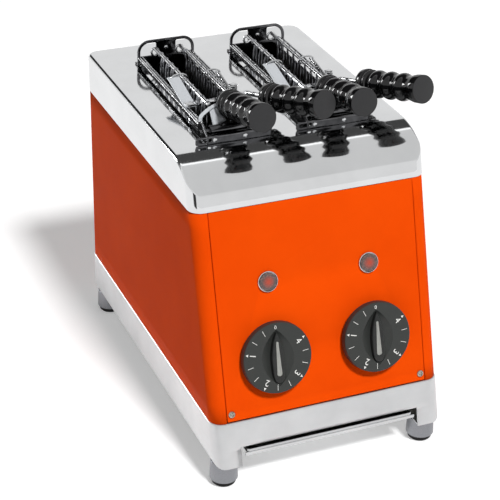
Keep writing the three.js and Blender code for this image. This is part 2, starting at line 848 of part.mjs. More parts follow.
// Front bracket: a low plate with windows and rivets, and two cheeks that hold the rest bar.
function frontBracket() {
  const half = frameWidth / 2;
  const foot = coverTop + seatGap;
  const top = coverTop + frontPlateRise;
  const windowEnd = frontWindowX + frontWindowWidth / 2;
  const windowLow = top - bracketBar / 2 - frontWindowHeight;
  const window = box(
    [windowEnd - frontWindowWidth, frontPlateY - cutOver, windowLow],
    [windowEnd, frontPlateY + cutOver, windowLow + frontWindowHeight],
  );
  const left = -half - frontPlateOverhang;
  const plate = cut(box([left, frontPlateY, foot], [half, frontPlateY + bracketWall, top]), window);
  const rivets = [windowEnd + rivetGap, windowEnd + rivetGap + rivetPitch].map((x) => {
    const z = (foot + top) / 2;
    return bar(
      [x, frontPlateY + bracketWall / 2, z],
      [x, frontPlateY - rivetHeight, z],
      rivetRadius,
      pinSides,
      rivetRadius / 2,
    );
  });
  const cheekHigh = coverTop + cheekTop;
  const railLow = coverTop + railTop - railHeight;
  const cheek = outline([
    [frontPlateY, foot],
    [railFront + railSeatLength, foot],
    [railFront + railSeatLength, railLow - seatGap],
    [cheekBack, railLow - seatGap],
    [cheekBack, cheekHigh - bracketPost],
    [cheekBack - bracketPost, cheekHigh],
    [cheekFront, cheekHigh],
    [frontPlateY, top],
  ]);
  const outer = half + bracketWall + seatGap;
  const pinHole = bar(
    [-outer - cutOver, restBarY, coverTop + restBarAxisRise],
    [outer + cutOver, restBarY, coverTop + restBarAxisRise],
    restBarPinRadius + seatGap,
    pinSides,
  );
  const cheeks = [
    cut(raisedAlongX(cheek, half + seatGap, outer), pinHole),
    cut(raisedAlongX(cheek, -outer, -half - seatGap), pinHole),
  ];
  const wing = box(
    [half - bracketPost, frontPlateY, foot],
    [outer, frontPlateY + bracketWall, top],
  );
  const seats = [-1, 1].map((side) => {
    const xs = [side * (half - railWidth), side * outer].sort((a, b) => a - b);
    return box(
      [xs[0], railFront, railLow - seatGap - bracketWall],
      [xs[1], railFront + railSeatLength, railLow - seatGap],
    );
  });
  return join(plate, ...rivets, ...cheeks, wing, ...seats);
}

// Rest bar between the cheeks, turned with a pin at each end.
function restBar() {
  const end = frameWidth / 2 - railWidth - seatGap * 2;
  const pin = frameWidth / 2 + seatGap + bracketWall / 2 + restBarPinLength / 2;
  const profile = [
    [0, -pin],
    [restBarPinRadius, -pin],
    [restBarPinRadius, -end],
    [restBarRadius, -end],
    [restBarRadius, end],
    [restBarPinRadius, end],
    [restBarPinRadius, pin],
    [0, pin],
  ];
  const turnedBar = turned(profile, pinSides);
  return turnedBar.rotate([0, 90, 0]).translate([0, restBarY, coverTop + restBarAxisRise]);
}

// Heat chamber: a sheet well, open above to the slot and below to the tray.
function heatChamber() {
  const low = basePlateLow + baseWall + seatGap;
  const high = coverTop - coverWall - seatGap;
  const half = chamberWidth / 2;
  const outer = box([-half, chamberFront, low], [half, chamberBack, high]);
  const inner = box(
    [-half + chamberWall, chamberFront + chamberWall, low - cutOver],
    [half - chamberWall, chamberBack - chamberWall, high + cutOver],
  );
  return cut(outer, inner);
}

// Heater frame: quartz tubes along both walls, carried at each end by a ceramic yoke.
function heaterFrame() {
  const low = heaterLowest - holderMargin;
  const high = heaterLowest + (heaterCount - 1) * heaterPitch + holderMargin;
  const start = chamberFront + chamberWall + seatGap;
  const end = chamberBack - chamberWall - seatGap;
  const centre = chamberWidth / 2 - heaterInset;
  const half = holderWidth / 2;
  const yokes = [start, end - holderThickness].map((y) =>
    cut(
      box([-centre - half, y, low - holderMargin], [centre + half, y + holderThickness, high]),
      box([-centre + half, y - cutOver, low], [centre - half, y + cutOver, high + cutOver]),
    ),
  );
  const tubes = [];
  for (const side of [-1, 1]) {
    for (let i = 0; i < heaterCount; i++) {
      const z = heaterLowest + i * heaterPitch;
      tubes.push(
        bar(
          [side * centre, start + holderThickness / 2, z],
          [side * centre, end - holderThickness / 2, z],
          heaterRadius,
          pinSides - 2,
        ),
      );
    }
  }
  return join(...yokes, ...tubes);
}

// Timer: a closed clockwork housing with a neck that passes the panel.
function timerBody() {
  const back = -wrapperInset - panelWall - seatGap;
  const shape = roundedRectangle(
    -timerWidth / 2,
    -timerHeight / 2,
    timerWidth / 2,
    timerHeight / 2,
    timerCorner,
  );
  const housing = raised(shape, back - timerDepth, back, 2);
  const neck = bar(
    [0, 0, back - timerNeckLength],
    [0, 0, back + timerNeckLength],
    timerNeckRadius,
    roundSides,
  );
  const bore = bar(
    [0, 0, shaftStart - seatGap],
    [0, 0, back + timerNeckLength + cutOver],
    shaftRadius + seatGap,
    pinSides,
  );
  return cut(join(housing, neck), bore);
}

const timerShaft = () =>
  bar([0, 0, shaftStart], [0, 0, shaftStart + shaftLength], shaftRadius, pinSides);

// A closed outline, mirrored about the grip's line, from the right half of its points.
function mirroredRing(right, z) {
  const left = right.slice(1, -1).reverse();
  return [...right.map((p) => [p.x, p.y, z]), ...left.map((p) => [-p.x, p.y, z])];
}

// The grip's outline: a pointed tip, swelling sides and a narrower rounded tail.
function gripRing(length, width, z) {
  const shoulderShare = 0.42;
  const tailShare = 0.55;
  const tip = gripTip - (gripLength - length) / 2;
  const tail = tip - length;
  const half = width / 2;
  const shoulder = tip - length * shoulderShare;
  const side = new THREE.CubicBezierCurve(
    new THREE.Vector2(0, tail),
    new THREE.Vector2(half * tailShare * 2, tail),
    new THREE.Vector2(half, (tail + shoulder) / 2),
    new THREE.Vector2(half, shoulder),
  );
  const nose = new THREE.QuadraticBezierCurve(
    new THREE.Vector2(half, shoulder),
    new THREE.Vector2(half, (shoulder + tip) / 2),
    new THREE.Vector2(0, tip),
  );
  return mirroredRing([...side.getPoints(cornerSides), ...nose.getPoints(cornerSides).slice(1)], z);
}

// The inlay's outline: a drop, broad at the tail.
function inlayRing(spread, z) {
  const tip = inlayTip + spread;
  const tail = inlayTip - inlayLength - spread;
  const half = inlayWidth / 2 + spread;
  const tipHalf = inlayTipWidth / 2 + spread;
  const end = new THREE.EllipseCurve(0, tail + half, half, half, -Math.PI / 2, 0);
  const head = new THREE.EllipseCurve(0, tip - tipHalf, tipHalf, tipHalf, 0, Math.PI / 2);
  return mirroredRing([...end.getPoints(cornerSides), ...head.getPoints(cornerSides)], z);
}

const dialFace = dialLift + dialThickness;
const gripTop = dialFace + gripHeight;

// Knob: a bevelled dial, hollowed on both sides of a pointer grip and bored for the shaft.
function knobBody() {
  const low = dialLift;
  const dial = turned([
    [0, low],
    [dialRadius, low],
    [dialRadius, dialFace - dialChamfer],
    [dialRadius - dialChamfer, dialFace],
    [0, dialFace],
  ], roundSides * 2);
  const bowl = new THREE.SphereGeometry(1, roundSides + cornerSides, pinSides);
  bowl.rotateX(Math.PI / 2);
  bowl.scale(scoopWidth / 2, scoopLength / 2, scoopDepth);
  bowl.translate(0, 0, dialFace);
  const web = dialFace - scoopDepth - seatGap;
  const grip = loft([
    gripRing(gripLength, gripWidth, web),
    gripRing(gripLength, gripWidth, (web + gripTop) / 2),
    gripRing(gripTopLength, gripTopWidth, gripTop),
  ]);
  const recess = loft([
    inlayRing(seatGap, gripTop - inlayThickness - seatGap),
    inlayRing(seatGap, gripTop + cutOver),
  ]);
  const bore = bar(
    [0, 0, low - cutOver],
    [0, 0, shaftStart + shaftLength + seatGap],
    shaftRadius + seatGap,
    pinSides,
  );
  return cut(join(cut(dial, solidOf(bowl)), grip), recess, bore);
}

const knobInlay = () => loft([inlayRing(0, gripTop - inlayThickness), inlayRing(0, gripTop)]);

// Pilot lamp: a flanged housing and a domed lens seated in its bezel.
function lampHousing() {
  const seat = -wrapperInset + seatGap;
  return turned([
    [0, seat - lampBodyLength],
    [lampBodyRadius, seat - lampBodyLength],
    [lampBodyRadius, seat],
    [lampRadius, seat],
    [lampRadius - bezelRim / 2, seat + bezelHeight],
    [lampRadius - bezelRim, seat + bezelHeight],
    [lensRadius + seatGap, seat + bezelFloor],
    [0, seat + bezelFloor],
  ]);
}

function lampLens() {
  const seat = -wrapperInset + seatGap * 2 + bezelFloor;
  const profile = [[0, seat]];
  profile.push([lensRadius, seat]);
  profile.push([lensRadius, seat + lensSeat]);
  for (let i = 1; i <= 3; i++) {
    const angle = ((Math.PI / 2) * i) / 3;
    const rise = lensHeight - lensSeat;
    profile.push([lensRadius * Math.cos(angle), seat + lensSeat + rise * Math.sin(angle)]);
  }
  profile[profile.length - 1][0] = 0;
  return turned(profile, pinSides);
}

// Cable gland: a flange and a domed cap with the bore for a supply lead.
function cableGland() {
  const outside = halfDepth - wrapperInset + seatGap;
  const inside = outside - seatGap - wrapperWall - seatGap;
  const threadEnd = inside - glandLength / 2;
  const profile = [
    [glandBore, threadEnd],
    [glandThreadRadius, threadEnd],
    [glandThreadRadius, outside],
    [glandRadius, outside],
    [glandRadius, outside + glandLength / 3],
    [glandRadius - glandBore / 2, outside + (glandLength * 2) / 3],
    [glandBore + plinthWall, outside + glandLength],
    [glandBore, outside + glandLength],
    [glandBore, threadEnd],
  ];
  const turnedUp = turned(profile, pinSides);
  return turnedUp.rotate([-90, 0, 0]).translate([glandX, 0, glandZ]);
}

// Tong grid: a top rod with an eye, a row of hanging wires and a lower rod.
function tongGrid(side) {
  const x = rodX(side);
  const parts = [
    bar([x, rodFront, rodZ], [x, rodBack, rodZ], rodRadius, pinSides),
    bar(
      [x, combFirst - combPitch / 2, gridBottom],
      [x, combFirst + (combCount - 1) * combPitch + combPitch / 2, gridBottom],
      lowerRodRadius,
    ),
  ];
  for (let i = 0; i < combCount; i++) {
    const y = combFirst + i * combPitch;
    parts.push(bar([x, y, gridBottom], [x, y, rodZ + rodRadius / 4], combRadius));
  }
  const eye = new THREE.TorusGeometry(eyeRadius, eyeWire, wireSides, pinSides);
  eye.rotateX(Math.PI / 2);
  eye.translate(x, rodBack, rodZ - eyeRadius);
  parts.push(solidOf(eye));
  return join(...parts);
}

const crossLow = coverTop + railTop + seatGap;
const leverLow = crossLow + crossThickness + seatGap;
const springLow = leverLow + leverThickness + seatGap;
const springTop = springLow + springTurns * springPitch + springWire * 2;

// An oval wire link round the rod and the strip beside it.
function rodLink(side) {
  const centre = rodX(side) + (side * ringHalfWidth) / 2;
  const path = new THREE.CatmullRomCurve3(
    Array.from({ length: pinSides }, (_, i) => {
      const angle = (2 * Math.PI * i) / (pinSides);
      return new THREE.Vector3(
        centre + ringHalfWidth * Math.cos(angle),
        ringY,
        rodZ + ringHalfHeight * Math.sin(angle),
      );
    }),
    true,
  );
  const section = new THREE.Shape().absarc(0, 0, ringWire, 0, 2 * Math.PI);
  const geometry = new THREE.ExtrudeGeometry(section, {
    extrudePath: path,
    steps: pinSides * 2,
    curveSegments: 3,
  });
  return solidOf(geometry);
}

// The flat strip from the cross bar up to the link.
function armStrip(x, width, low) {
  const half = width / 2;
  const ringAt = (y, z) => [
    [x - half, y, z + stripThickness],
    [x - half, y, z],
    [x + half, y, z],
    [x + half, y, z + stripThickness],
  ];
  const high = rodZ - stripThickness / 2;
  return loft([ringAt(crossFront, low), ringAt(crossBack, low), ringAt(ringY - ringWire * 2, high), ringAt(stripBack, high)]);
}

// The fixed arm: strip, cross bar on the rails, strap, and a stem for its handle.
function fixedArm() {
  const crossTop = crossLow + crossThickness;
  const crossBar = box([crossLeft, crossFront, crossLow], [pivotX, crossBack, crossTop]);
  const eye = bar(
    [pivotX, pivotY, crossLow],
    [pivotX, pivotY, crossTop],
    pivotEyeRadius,
    pinSides,
  );
  const pinHole = bar(
    [pivotX, pivotY, crossLow - cutOver],
    [pivotX, pivotY, crossTop + cutOver],
    pinRadius + seatGap,
    pinSides,
  );
  const tabX = -frameWidth / 2 + railWidth + seatGap;
  const tab = box(
    [tabX, crossFront, crossLow - tabDrop],
    [tabX + stripThickness, crossFront + tabLength, crossLow + crossThickness / 2],
  );
  const strapZ = crossLow + seatGap + strapThickness;
  const neckZ = crossLow + crossThickness;
  const strap = strapAlong(
    [
      [strapFootX, strapFront, strapZ],
      [strapFootX + strapThickness, strapFront + strapThickness, (strapZ + rodZ) / 2],
      [strapShoulderX, strapShoulderY, rodZ],
      [rodX(-1) / 2, strapCrossY, rodZ - strapThickness],
      [handleAX, strapEndY, neckZ + strapThickness * 2],
    ],
    strapWidth,
    strapThickness,
    cornerSides * 2,
  );
  const shoulder = handlePoint(handleAX, 0, handleATilt, -neckRadius);
  const neck = bar(
    [handleAX, (crossFront + crossBack) / 2, neckZ],
    shoulder,
    neckRadius,
    pinSides,
  );
  const stem = bar(
    shoulder,
    handlePoint(handleAX, 0, handleATilt, stemInHandle),
    stemRadius,
    pinSides,
  );
  const postX = pivotX - springRadius - springWire - seatGap - postRadius;
  const postY = pivotY - springLeg;
  const ear = box(
    [postX - postMargin, postY - postMargin, crossLow],
    [postX + postMargin, crossFront + seatGap, crossTop],
  );
  const post = bar([postX, postY, crossLow], [postX, postY, springTop], postRadius);
  const fixed = [eye, tab, ear, post, armStrip(stripX, stripWidth, crossLow), rodLink(-1), strap, neck, stem];
  return cut(join(crossBar, ...fixed), pinHole);
}

// A point on a handle's axis, at a distance along it from the collar's face.
function handlePoint(x, splay, tilt, distance) {
  return [
    x + distance * Math.cos(tilt) * Math.sin(splay),
    handleBaseY - distance * Math.cos(tilt) * Math.cos(splay),
    handleBaseZ + distance * Math.sin(tilt),
  ];
}

// The moving arm: a lever that turns on the pin above the cross bar.
function movingArm() {
  const top = leverLow + leverThickness;
  const eye = bar(
    [pivotX, pivotY, leverLow],
    [pivotX, pivotY, top],
    pivotEyeRadius,
    pinSides,
  );
  const pinHole = bar(
    [pivotX, pivotY, leverLow - cutOver],
    [pivotX, pivotY, top + cutOver],
    pinRadius + seatGap,
    pinSides,
  );
  const strip = armStrip(rodX(1) + ringHalfWidth + leverWidth / 4, leverWidth, leverLow);
  const reach = (handleBaseY - pivotY) / (Math.cos(handleBTilt) * Math.cos(handleBSplay));
  const start = handlePoint(handleBX, handleBSplay, handleBTilt, reach);
  const lever = box(
    [pivotX - leverWidth / 2, crossFront, leverLow],
    [start[0] + leverWidth / 2, crossBack, top],
  );
  const shoulder = handlePoint(handleBX, handleBSplay, handleBTilt, -neckRadius);
  const neck = bar(
    [start[0], start[1], leverLow + leverThickness / 2],
    shoulder,
    neckRadius,
    pinSides,
  );
  const stem = bar(
    shoulder,
    handlePoint(handleBX, handleBSplay, handleBTilt, stemInHandle),
    stemRadius,
    pinSides,
  );
  const postX = pivotX + springRadius + springWire + seatGap + postRadius;
  const postY = pivotY - springLeg;
  const ear = box(
    [postX - postMargin, postY - postMargin, leverLow],
    [postX + postMargin, crossFront + seatGap, top],
  );
  const post = bar([postX, postY, leverLow], [postX, postY, top + postMargin * 2], postRadius);
  return cut(join(eye, strip, rodLink(1), lever, ear, post, neck, stem), pinHole);
}

// Pivot pin with a head above the spring and a riveted end below the cross bar.
function pivotPin() {
  const low = crossLow - seatGap - pinHeadHeight;
  const headLow = springTop + seatGap;
  const profile = [
    [0, low],
    [pinHeadRadius / Math.SQRT2, low],
    [pinHeadRadius / Math.SQRT2, crossLow - seatGap],
    [pinRadius, crossLow - seatGap],
    [pinRadius, headLow],
    [pinHeadRadius, headLow],
    [pinHeadRadius, headLow + pinHeadHeight / 2],
    [pinHeadRadius / 2, headLow + pinHeadHeight],
    [0, headLow + pinHeadHeight],
  ];
  return turned(profile, pinSides).translate([pivotX, pivotY, 0]);
}

// A round wire through points on a nearly level path.
function levelWire(points, radius, sides) {
  const up = new THREE.Vector3(0, 0, 1);
  const rings = points.map((point, i) => {
    const before = points[Math.max(i - 1, 0)];
    const after = points[Math.min(i + 1, points.length - 1)];
    const along = after.clone().sub(before).normalize();
    const aside = up.clone().cross(along).normalize();
    const lift = along.clone().cross(aside);
    return Array.from({ length: sides }, (_, k) => {
      const turn = (2 * Math.PI * k) / sides;
      const out = aside.clone().multiplyScalar(Math.cos(turn)).addScaledVector(lift, Math.sin(turn));
      return point.clone().addScaledVector(out, radius).toArray();
    });
  });
  return loft(rings);
}

// Least gap of a wire to itself, between samples of its path that lie some radii apart along it.
function leastGap(points, radius) {
  const samplesBetween = 6;
  const radiiApart = 4;
  const samples = [];
  let travelled = 0;
  points.slice(1).forEach((point, i) => {
    const step = points[i].distanceTo(point);
    for (let k = 0; k < samplesBetween; k++) {
      const share = k / samplesBetween;
      samples.push({ at: points[i].clone().lerp(point, share), along: travelled + step * share });
    }
    travelled += step;
  });
  let least = Infinity;
  for (const one of samples) {
    for (const two of samples) {
      if (two.along - one.along < radiiApart * radius) continue;
      least = Math.min(least, one.at.distanceTo(two.at));
    }
  }
  return least - 2 * radius;
}

// Path of the torsion spring: wound round the pin, with a straight leg at each end.
function springPath() {
  const low = springLow + springWire;
  const curlSteps = 8;
  const steps = Math.round(springTurns * curlSteps);
  const legY = pivotY - springLeg - postRadius;
  const points = [new THREE.Vector3(pivotX + springRadius, legY, low)];
  for (let i = 0; i <= steps; i++) {
    const angle = (2 * Math.PI * i) / curlSteps;
    points.push(
      new THREE.Vector3(
        pivotX + springRadius * Math.cos(angle),
        pivotY + springRadius * Math.sin(angle),
        low + (springPitch * i) / curlSteps,
      ),
    );
  }
  const last = points[points.length - 1];
  points.push(new THREE.Vector3(last.x, legY, last.z));
  return points;
}

console.log("return spring: least gap to itself " + leastGap(springPath(), springWire).toFixed(2) + " mm");

// Handle: a turned grip with a stepped collar, finger waves and a flat end.
function handle() {
  const stepShare = 0.45;
  const profile = [
    [0, 0],
    [handleCollarRadius - springWire * 2, 0],
    [handleCollarRadius, springWire * 2],
    [handleCollarRadius, handleCollarLength * stepShare],
    [handleBulgeRadius, handleCollarLength * stepShare + springWire],
    [handleBulgeRadius, handleCollarLength * stepShare * 2],
  ];
  const mid = (handleBulgeRadius + handleWaistRadius) / 2;
  const wave = (handleBulgeRadius - handleWaistRadius) / 2;
  const waveSteps = 4;
  for (let i = 0; i <= handleBulges * waveSteps; i++) {
    const angle = (2 * Math.PI * i) / waveSteps;
    const along = handleCollarLength + (handleBulgePitch * i) / waveSteps;
    profile.push([mid - wave * Math.cos(angle), along]);
  }
  profile.push([handleEndRadius, handleLength - handleEndLength]);
  profile.push([handleEndRadius, handleLength - springWire]);
  profile.push([handleEndRadius - springWire, handleLength]);
  profile.push([0, handleLength]);
  const bore = bar(
    [0, 0, -cutOver],
    [0, 0, stemInHandle + seatGap],
    stemRadius + seatGap,
    pinSides,
  );
  return cut(turned(profile, roundSides), bore);
}

function placeHandle(made, x, splay, tilt) {
  made.position.set(x, handleBaseY, handleBaseZ);
  made.rotation.order = "ZXY";
  made.rotation.set(Math.PI / 2 - tilt, 0, splay);
  return made;
}

// Assembly
const toaster = new THREE.Group();
const casingGroup = new THREE.Group();
casingGroup.add(
  mesh("plinth", plinth(), ...satinSteel),
  mesh("base_plate", basePlate(), ...rawSteel),
  mesh("crumb_tray", crumbTray(), ...satinSteel),
  mesh("body_wrapper", bodyWrapper(), ...orangePaint),
  mesh("top_cover", topCover(), ...mirrorSteel),
  mesh("cable_gland", cableGland(), ...blackPlastic),
);
toaster.add(casingGroup);

const corners = { front_left: [-1, -1], front_right: [1, -1], rear_left: [-1, 1], rear_right: [1, 1] };
for (const [corner, [side, end]] of Object.entries(corners)) {
  const foot = new THREE.Group();
  foot.position.set(side * (halfWidth - footInsetX), end * (halfDepth - footInsetY), 0);
  foot.add(
    mesh("foot_cup_" + corner, footCup(), ...castGrey),
    mesh("foot_pad_" + corner, footPad(), ...blackRubber),
  );
  toaster.add(foot);
}

const front = new THREE.Group();
front.applyMatrix4(frontMatrix());
front.add(mesh("front_panel", frontPanel(), ...orangePaint));
toaster.add(front);

for (const [name, side] of [["left", -1], ["right", 1]]) {
  const screw = mesh("panel_screw_" + name, panelScrew(), ...chromeWire);
  screw.position.set(side * (panelWidth / 2 - screwInsetX), screwRise, 0);
  const control = new THREE.Group();
  control.position.set(side * controlX, knobRise, 0);
  control.add(
    mesh("timer_" + name, timerBody(), ...rawSteel),
    mesh("timer_shaft_" + name, timerShaft(), ...rawSteel),
    mesh("knob_" + name, knobBody(), ...dialPlastic),
    mesh("knob_inlay_" + name, knobInlay(), ...inlayPaint),
  );
  const lamp = new THREE.Group();
  lamp.position.set(side * controlX, lampRise, 0);
  lamp.add(
    mesh("lamp_housing_" + name, lampHousing(), ...chromeWire),
    mesh("lamp_lens_" + name, lampLens(), ...amberLens),
  );
  front.add(screw, control, lamp);

  const slot = new THREE.Group();
  slot.position.set((side * slotPitch) / 2, 0, 0);
  slot.add(
    mesh("slot_rail_" + name + "_a", slotRail(-1), ...chromeWire),
    mesh("slot_rail_" + name + "_b", slotRail(1), ...chromeWire),
    mesh("rear_bracket_" + name, rearBracket(), ...mirrorSteel),
    mesh("front_bracket_" + name, frontBracket(), ...mirrorSteel),
    mesh("rest_bar_" + name, restBar(), ...mirrorSteel),
    mesh("heat_chamber_" + name, heatChamber(), ...rawSteel),
    mesh("heater_frame_" + name, heaterFrame(), ...quartz),
    mesh("tong_" + name + "_fixed_grid", tongGrid(-1), ...chromeWire),
    mesh("tong_" + name + "_moving_grid", tongGrid(1), ...chromeWire),
    mesh("tong_" + name + "_fixed_arm", fixedArm(), ...chromeWire),
    mesh("tong_" + name + "_moving_arm", movingArm(), ...chromeWire),
    mesh("tong_" + name + "_pivot_pin", pivotPin(), ...chromeWire),
    mesh("tong_" + name + "_spring", levelWire(springPath(), springWire, 5), ...rawSteel),
    placeHandle(mesh("tong_" + name + "_fixed_handle", handle(), ...blackBakelite), handleAX, 0, handleATilt),
    placeHandle(
      mesh("tong_" + name + "_moving_handle", handle(), ...blackBakelite),
      handleBX,
      handleBSplay,
      handleBTilt,
    ),
  );
  toaster.add(slot);
}

// The frame's origin is the middle of the whole part's footprint.
toaster.updateMatrixWorld(true);
const bounds = new THREE.Box3().setFromObject(toaster, true);
const part = new THREE.Group();
toaster.position.x = -(bounds.min.x + bounds.max.x) / 2;
toaster.position.y = -(bounds.min.y + bounds.max.y) / 2;
part.add(toaster);

export default part;
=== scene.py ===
import math

import bmesh
import bpy
import numpy as np
from bpy.props import FloatProperty, FloatVectorProperty, IntProperty, PointerProperty
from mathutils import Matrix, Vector


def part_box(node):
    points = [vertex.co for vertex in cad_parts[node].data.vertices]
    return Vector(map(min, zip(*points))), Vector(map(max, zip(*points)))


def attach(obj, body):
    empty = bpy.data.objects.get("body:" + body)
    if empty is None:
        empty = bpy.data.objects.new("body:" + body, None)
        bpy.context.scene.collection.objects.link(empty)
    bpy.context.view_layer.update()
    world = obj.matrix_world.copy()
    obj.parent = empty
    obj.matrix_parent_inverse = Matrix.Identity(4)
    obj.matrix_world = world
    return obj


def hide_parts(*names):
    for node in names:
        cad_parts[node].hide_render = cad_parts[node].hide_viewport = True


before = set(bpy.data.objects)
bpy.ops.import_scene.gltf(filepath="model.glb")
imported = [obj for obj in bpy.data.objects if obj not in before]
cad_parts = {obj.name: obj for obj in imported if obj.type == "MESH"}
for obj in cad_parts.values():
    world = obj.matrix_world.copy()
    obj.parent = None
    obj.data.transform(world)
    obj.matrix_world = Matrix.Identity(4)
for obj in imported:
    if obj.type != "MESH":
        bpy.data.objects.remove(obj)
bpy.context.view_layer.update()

bl_info = {
    "name": "Bar toaster with tongs",
    "version": (1, 0, 0),
    "blender": (4, 5, 0),
    "location": "View3D > Sidebar > Toaster",
    "description": "Dresses the packed frame of a two-slot bar toaster with lift-out tongs",
    "category": "Object",
}

# Levels and lines that come from the frame, in metres
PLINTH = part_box("plinth")
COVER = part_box("top_cover")
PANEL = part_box("front_panel")
CASING_X = (PLINTH[0].x + PLINTH[1].x) / 2
CASING_BACK = PLINTH[1].y
HALF_WIDTH = (PLINTH[1].x - PLINTH[0].x) / 2
PANEL_HALF = (PANEL[1].x - PANEL[0].x) / 2
PLINTH_LOW, PLINTH_TOP = PLINTH[0].z, PLINTH[1].z
COVER_LOW, COVER_TOP = COVER[0].z, COVER[1].z
SLOPE = (COVER[0].y - PLINTH[0].y) / (COVER_LOW - PLINTH_LOW)
LEAN = math.atan(SLOPE)
SIDES = {"left": -1, "right": 1}


def front_line(z):
    """Where the leaning front stands at height z."""
    return PLINTH[0].y + (z - PLINTH_LOW) * SLOPE


# The leaning front's own axes: across, up the slope and out of the panel
SLOPE_HOME = np.array([CASING_X, front_line(PLINTH_TOP), PLINTH_TOP])
SLOPE_AXES = np.array(
    [
        [1, 0, 0],
        [0, math.sin(LEAN), math.cos(LEAN)],
        [0, -math.cos(LEAN), math.sin(LEAN)],
    ]
)
# Places on it: out from its middle and up from the plinth
DIAL_PLACE = PANEL_HALF / 2, 0.054
LAMP_PLACE = PANEL_HALF / 2, 0.122
SCREW_PLACE = PANEL_HALF - 0.0043, 0.008

# Faces of a dial, out from the slope
DIAL_RADIUS, DIAL_LOW, DIAL_FACE, GRIP_TOP = 0.0327, 0.002, 0.009, 0.0105

# Sheet of the plinth and the tray, and the length of each corner that carries a foot
PLINTH_SHEET, TRAY_SHEET, FOOT_BAY = 0.0015, 0.001, 0.042

# The slots' half width and corners, and the points along half of the cover's straight front or
# back edge
SLOT_HALF, SLOT_ROUND, EDGE_STEPS = 0.025, 0.003, 12

# Slot frames and tongs are drawn in millimetres: x from a slot's middle, y back from its front
# edge, z up from the cover
STANDING = np.array([[1, 0, 0], [0, 0, 1], [0, -1, 0]])
EDGEWISE = np.array([[0, 1, 0], [0, 0, 1], [1, 0, 0]])
RODS = {"fixed": -13.8, "moving": 11.4}
ROD_RISE, ROD_END, GRID_LOW = 19.5, 175.87, -110.5
COMB, COMB_HALF_PITCH = 36.5 + 13.541 * np.arange(10), 6.77
PIVOT = 20.0, 60.0
BAR_FRONT, BAR_BACK, BAR_THICK = 55, 62, 2.4
COLLAR_Y, COLLAR_Z, HANDLE_LENGTH = 27, 21.5, 78


# Sizes and colours that a user may change


def linear(code):
    """An sRGB hex colour as linear values with full alpha."""
    shade = [int(code[i : i + 2], 16) / 255 for i in (0, 2, 4)]
    return [v / 12.92 if v <= 0.04045 else ((v + 0.055) / 1.055) ** 2.4 for v in shade] + [1]


def length(name, description, default, low, high):
    """A length in metres that a user may change."""
    return FloatProperty(
        name=name, description=description, default=default, min=low, max=high, unit="LENGTH"
    )


def tint(name, description, code):
    """A colour that a user may change, held in scene-linear values."""
    return FloatVectorProperty(
        name=name, description=description, default=linear(code)[:3],
        size=3, min=0, max=1, subtype="COLOR",
    )


class CasingSizes(bpy.types.PropertyGroup):
    """Sheet-metal sizes of the casing."""

    corner_radius: length(
        "Corner radius", "Upright corners of the casing, in plan", 0.012, 0.006, 0.02
    )
    sweep_radius: length(
        "Sweep radius", "The sweep of the polished cover down over the front", 0.06, 0.04, 0.065
    )
    skirt_height: length(
        "Skirt height", "Upright edge of the cover below the sweep", 0.013, 0.006, 0.02
    )
    cover_edge_radius: length(
        "Cover edge radius", "The fold along the cover's edges and between its sweep and skirt",
        0.003, 0.001, 0.004,
    )
    sheet: length("Sheet thickness", "Wall of the cover and the wrapper", 0.0012, 0.0006, 0.0015)
    wrapper_inset: length(
        "Wrapper inset", "How far the painted skin stands back from the cover and the plinth",
        0.0006, 0.0002, 0.002,
    )
    corner_steps: IntProperty(
        name="Corner steps", description="Faces round each upright corner",
        default=18, min=4, max=32,
    )


class ControlSizes(bpy.types.PropertyGroup):
    """Sizes of the printed scale on the dials."""

    digit_height: length("Digit height", "Height of the printed numerals", 0.0058, 0.002, 0.007)
    digit_radius: length(
        "Digit circle", "Distance of the numerals from the dial's axis", 0.0242, 0.018, 0.028
    )
    scale_step: FloatProperty(
        name="Scale step", description="Angle between two numerals",
        default=math.radians(75), min=0.5, max=1.5, subtype="ANGLE",
    )
    ink_lift: length("Ink lift", "Thickness of the pad-printed ink", 0.00006, 0.00002, 0.0002)


class HandleSizes(bpy.types.PropertyGroup):
    """Sizes of the turned tong handles."""

    collar_radius: length("Collar radius", "Radius of the stepped collar", 0.0132, 0.01, 0.0135)
    bulge_radius: length("Bulge radius", "Radius over the finger waves", 0.0128, 0.009, 0.0132)
    waist_radius: length("Waist radius", "Radius between the finger waves", 0.0105, 0.008, 0.012)
    sides: IntProperty(
        name="Sides", description="Faces round a handle", default=72, min=24, max=128
    )


class Finishes(bpy.types.PropertyGroup):
    """Colours of the painted and moulded pieces."""

    paint: tint("Paint", "Orange stove enamel of the wrapper and the front panel", "F24F06")
    handle: tint("Handles", "Black phenolic of the tong handles", "0B0B0C")
    dial: tint("Dials", "Grey ABS of the dials", "323432")
    lens: tint("Lamp lenses", "Amber-red polycarbonate of the pilot lamps", "B23A1C")


SIZE_GROUPS = {
    "casing": CasingSizes,
    "controls": ControlSizes,
    "handles": HandleSizes,
    "finishes": Finishes,
}


def chosen(group):
    """The values of one property group as they stand."""
    return getattr(bpy.context.scene, "toaster_" + group)


# Surfaces: each is a set of points and the faces between them


def sheet(points, wrap_rows=False, wrap_columns=False, ends=()):
    """A grid of points, rows by columns by xyz. A wrapped direction closes on itself, and one face
    covers each row that ends names, 0 for the first and -1 for the last."""
    points = np.asarray(points, float)
    rows, columns = points.shape[:2]
    i, j = np.meshgrid(
        np.arange(rows if wrap_rows else rows - 1),
        np.arange(columns if wrap_columns else columns - 1),
        indexing="ij",
    )
    down, right = (i + 1) % rows, (j + 1) % columns
    corners = [i * columns + j, i * columns + right, down * columns + right, down * columns + j]
    faces = np.stack(corners, -1).reshape(-1, 4).tolist()
    starts = [end % rows * columns for end in ends]
    faces += [list(range(start, start + columns)) for start in starts]
    return points.reshape(-1, 3), faces


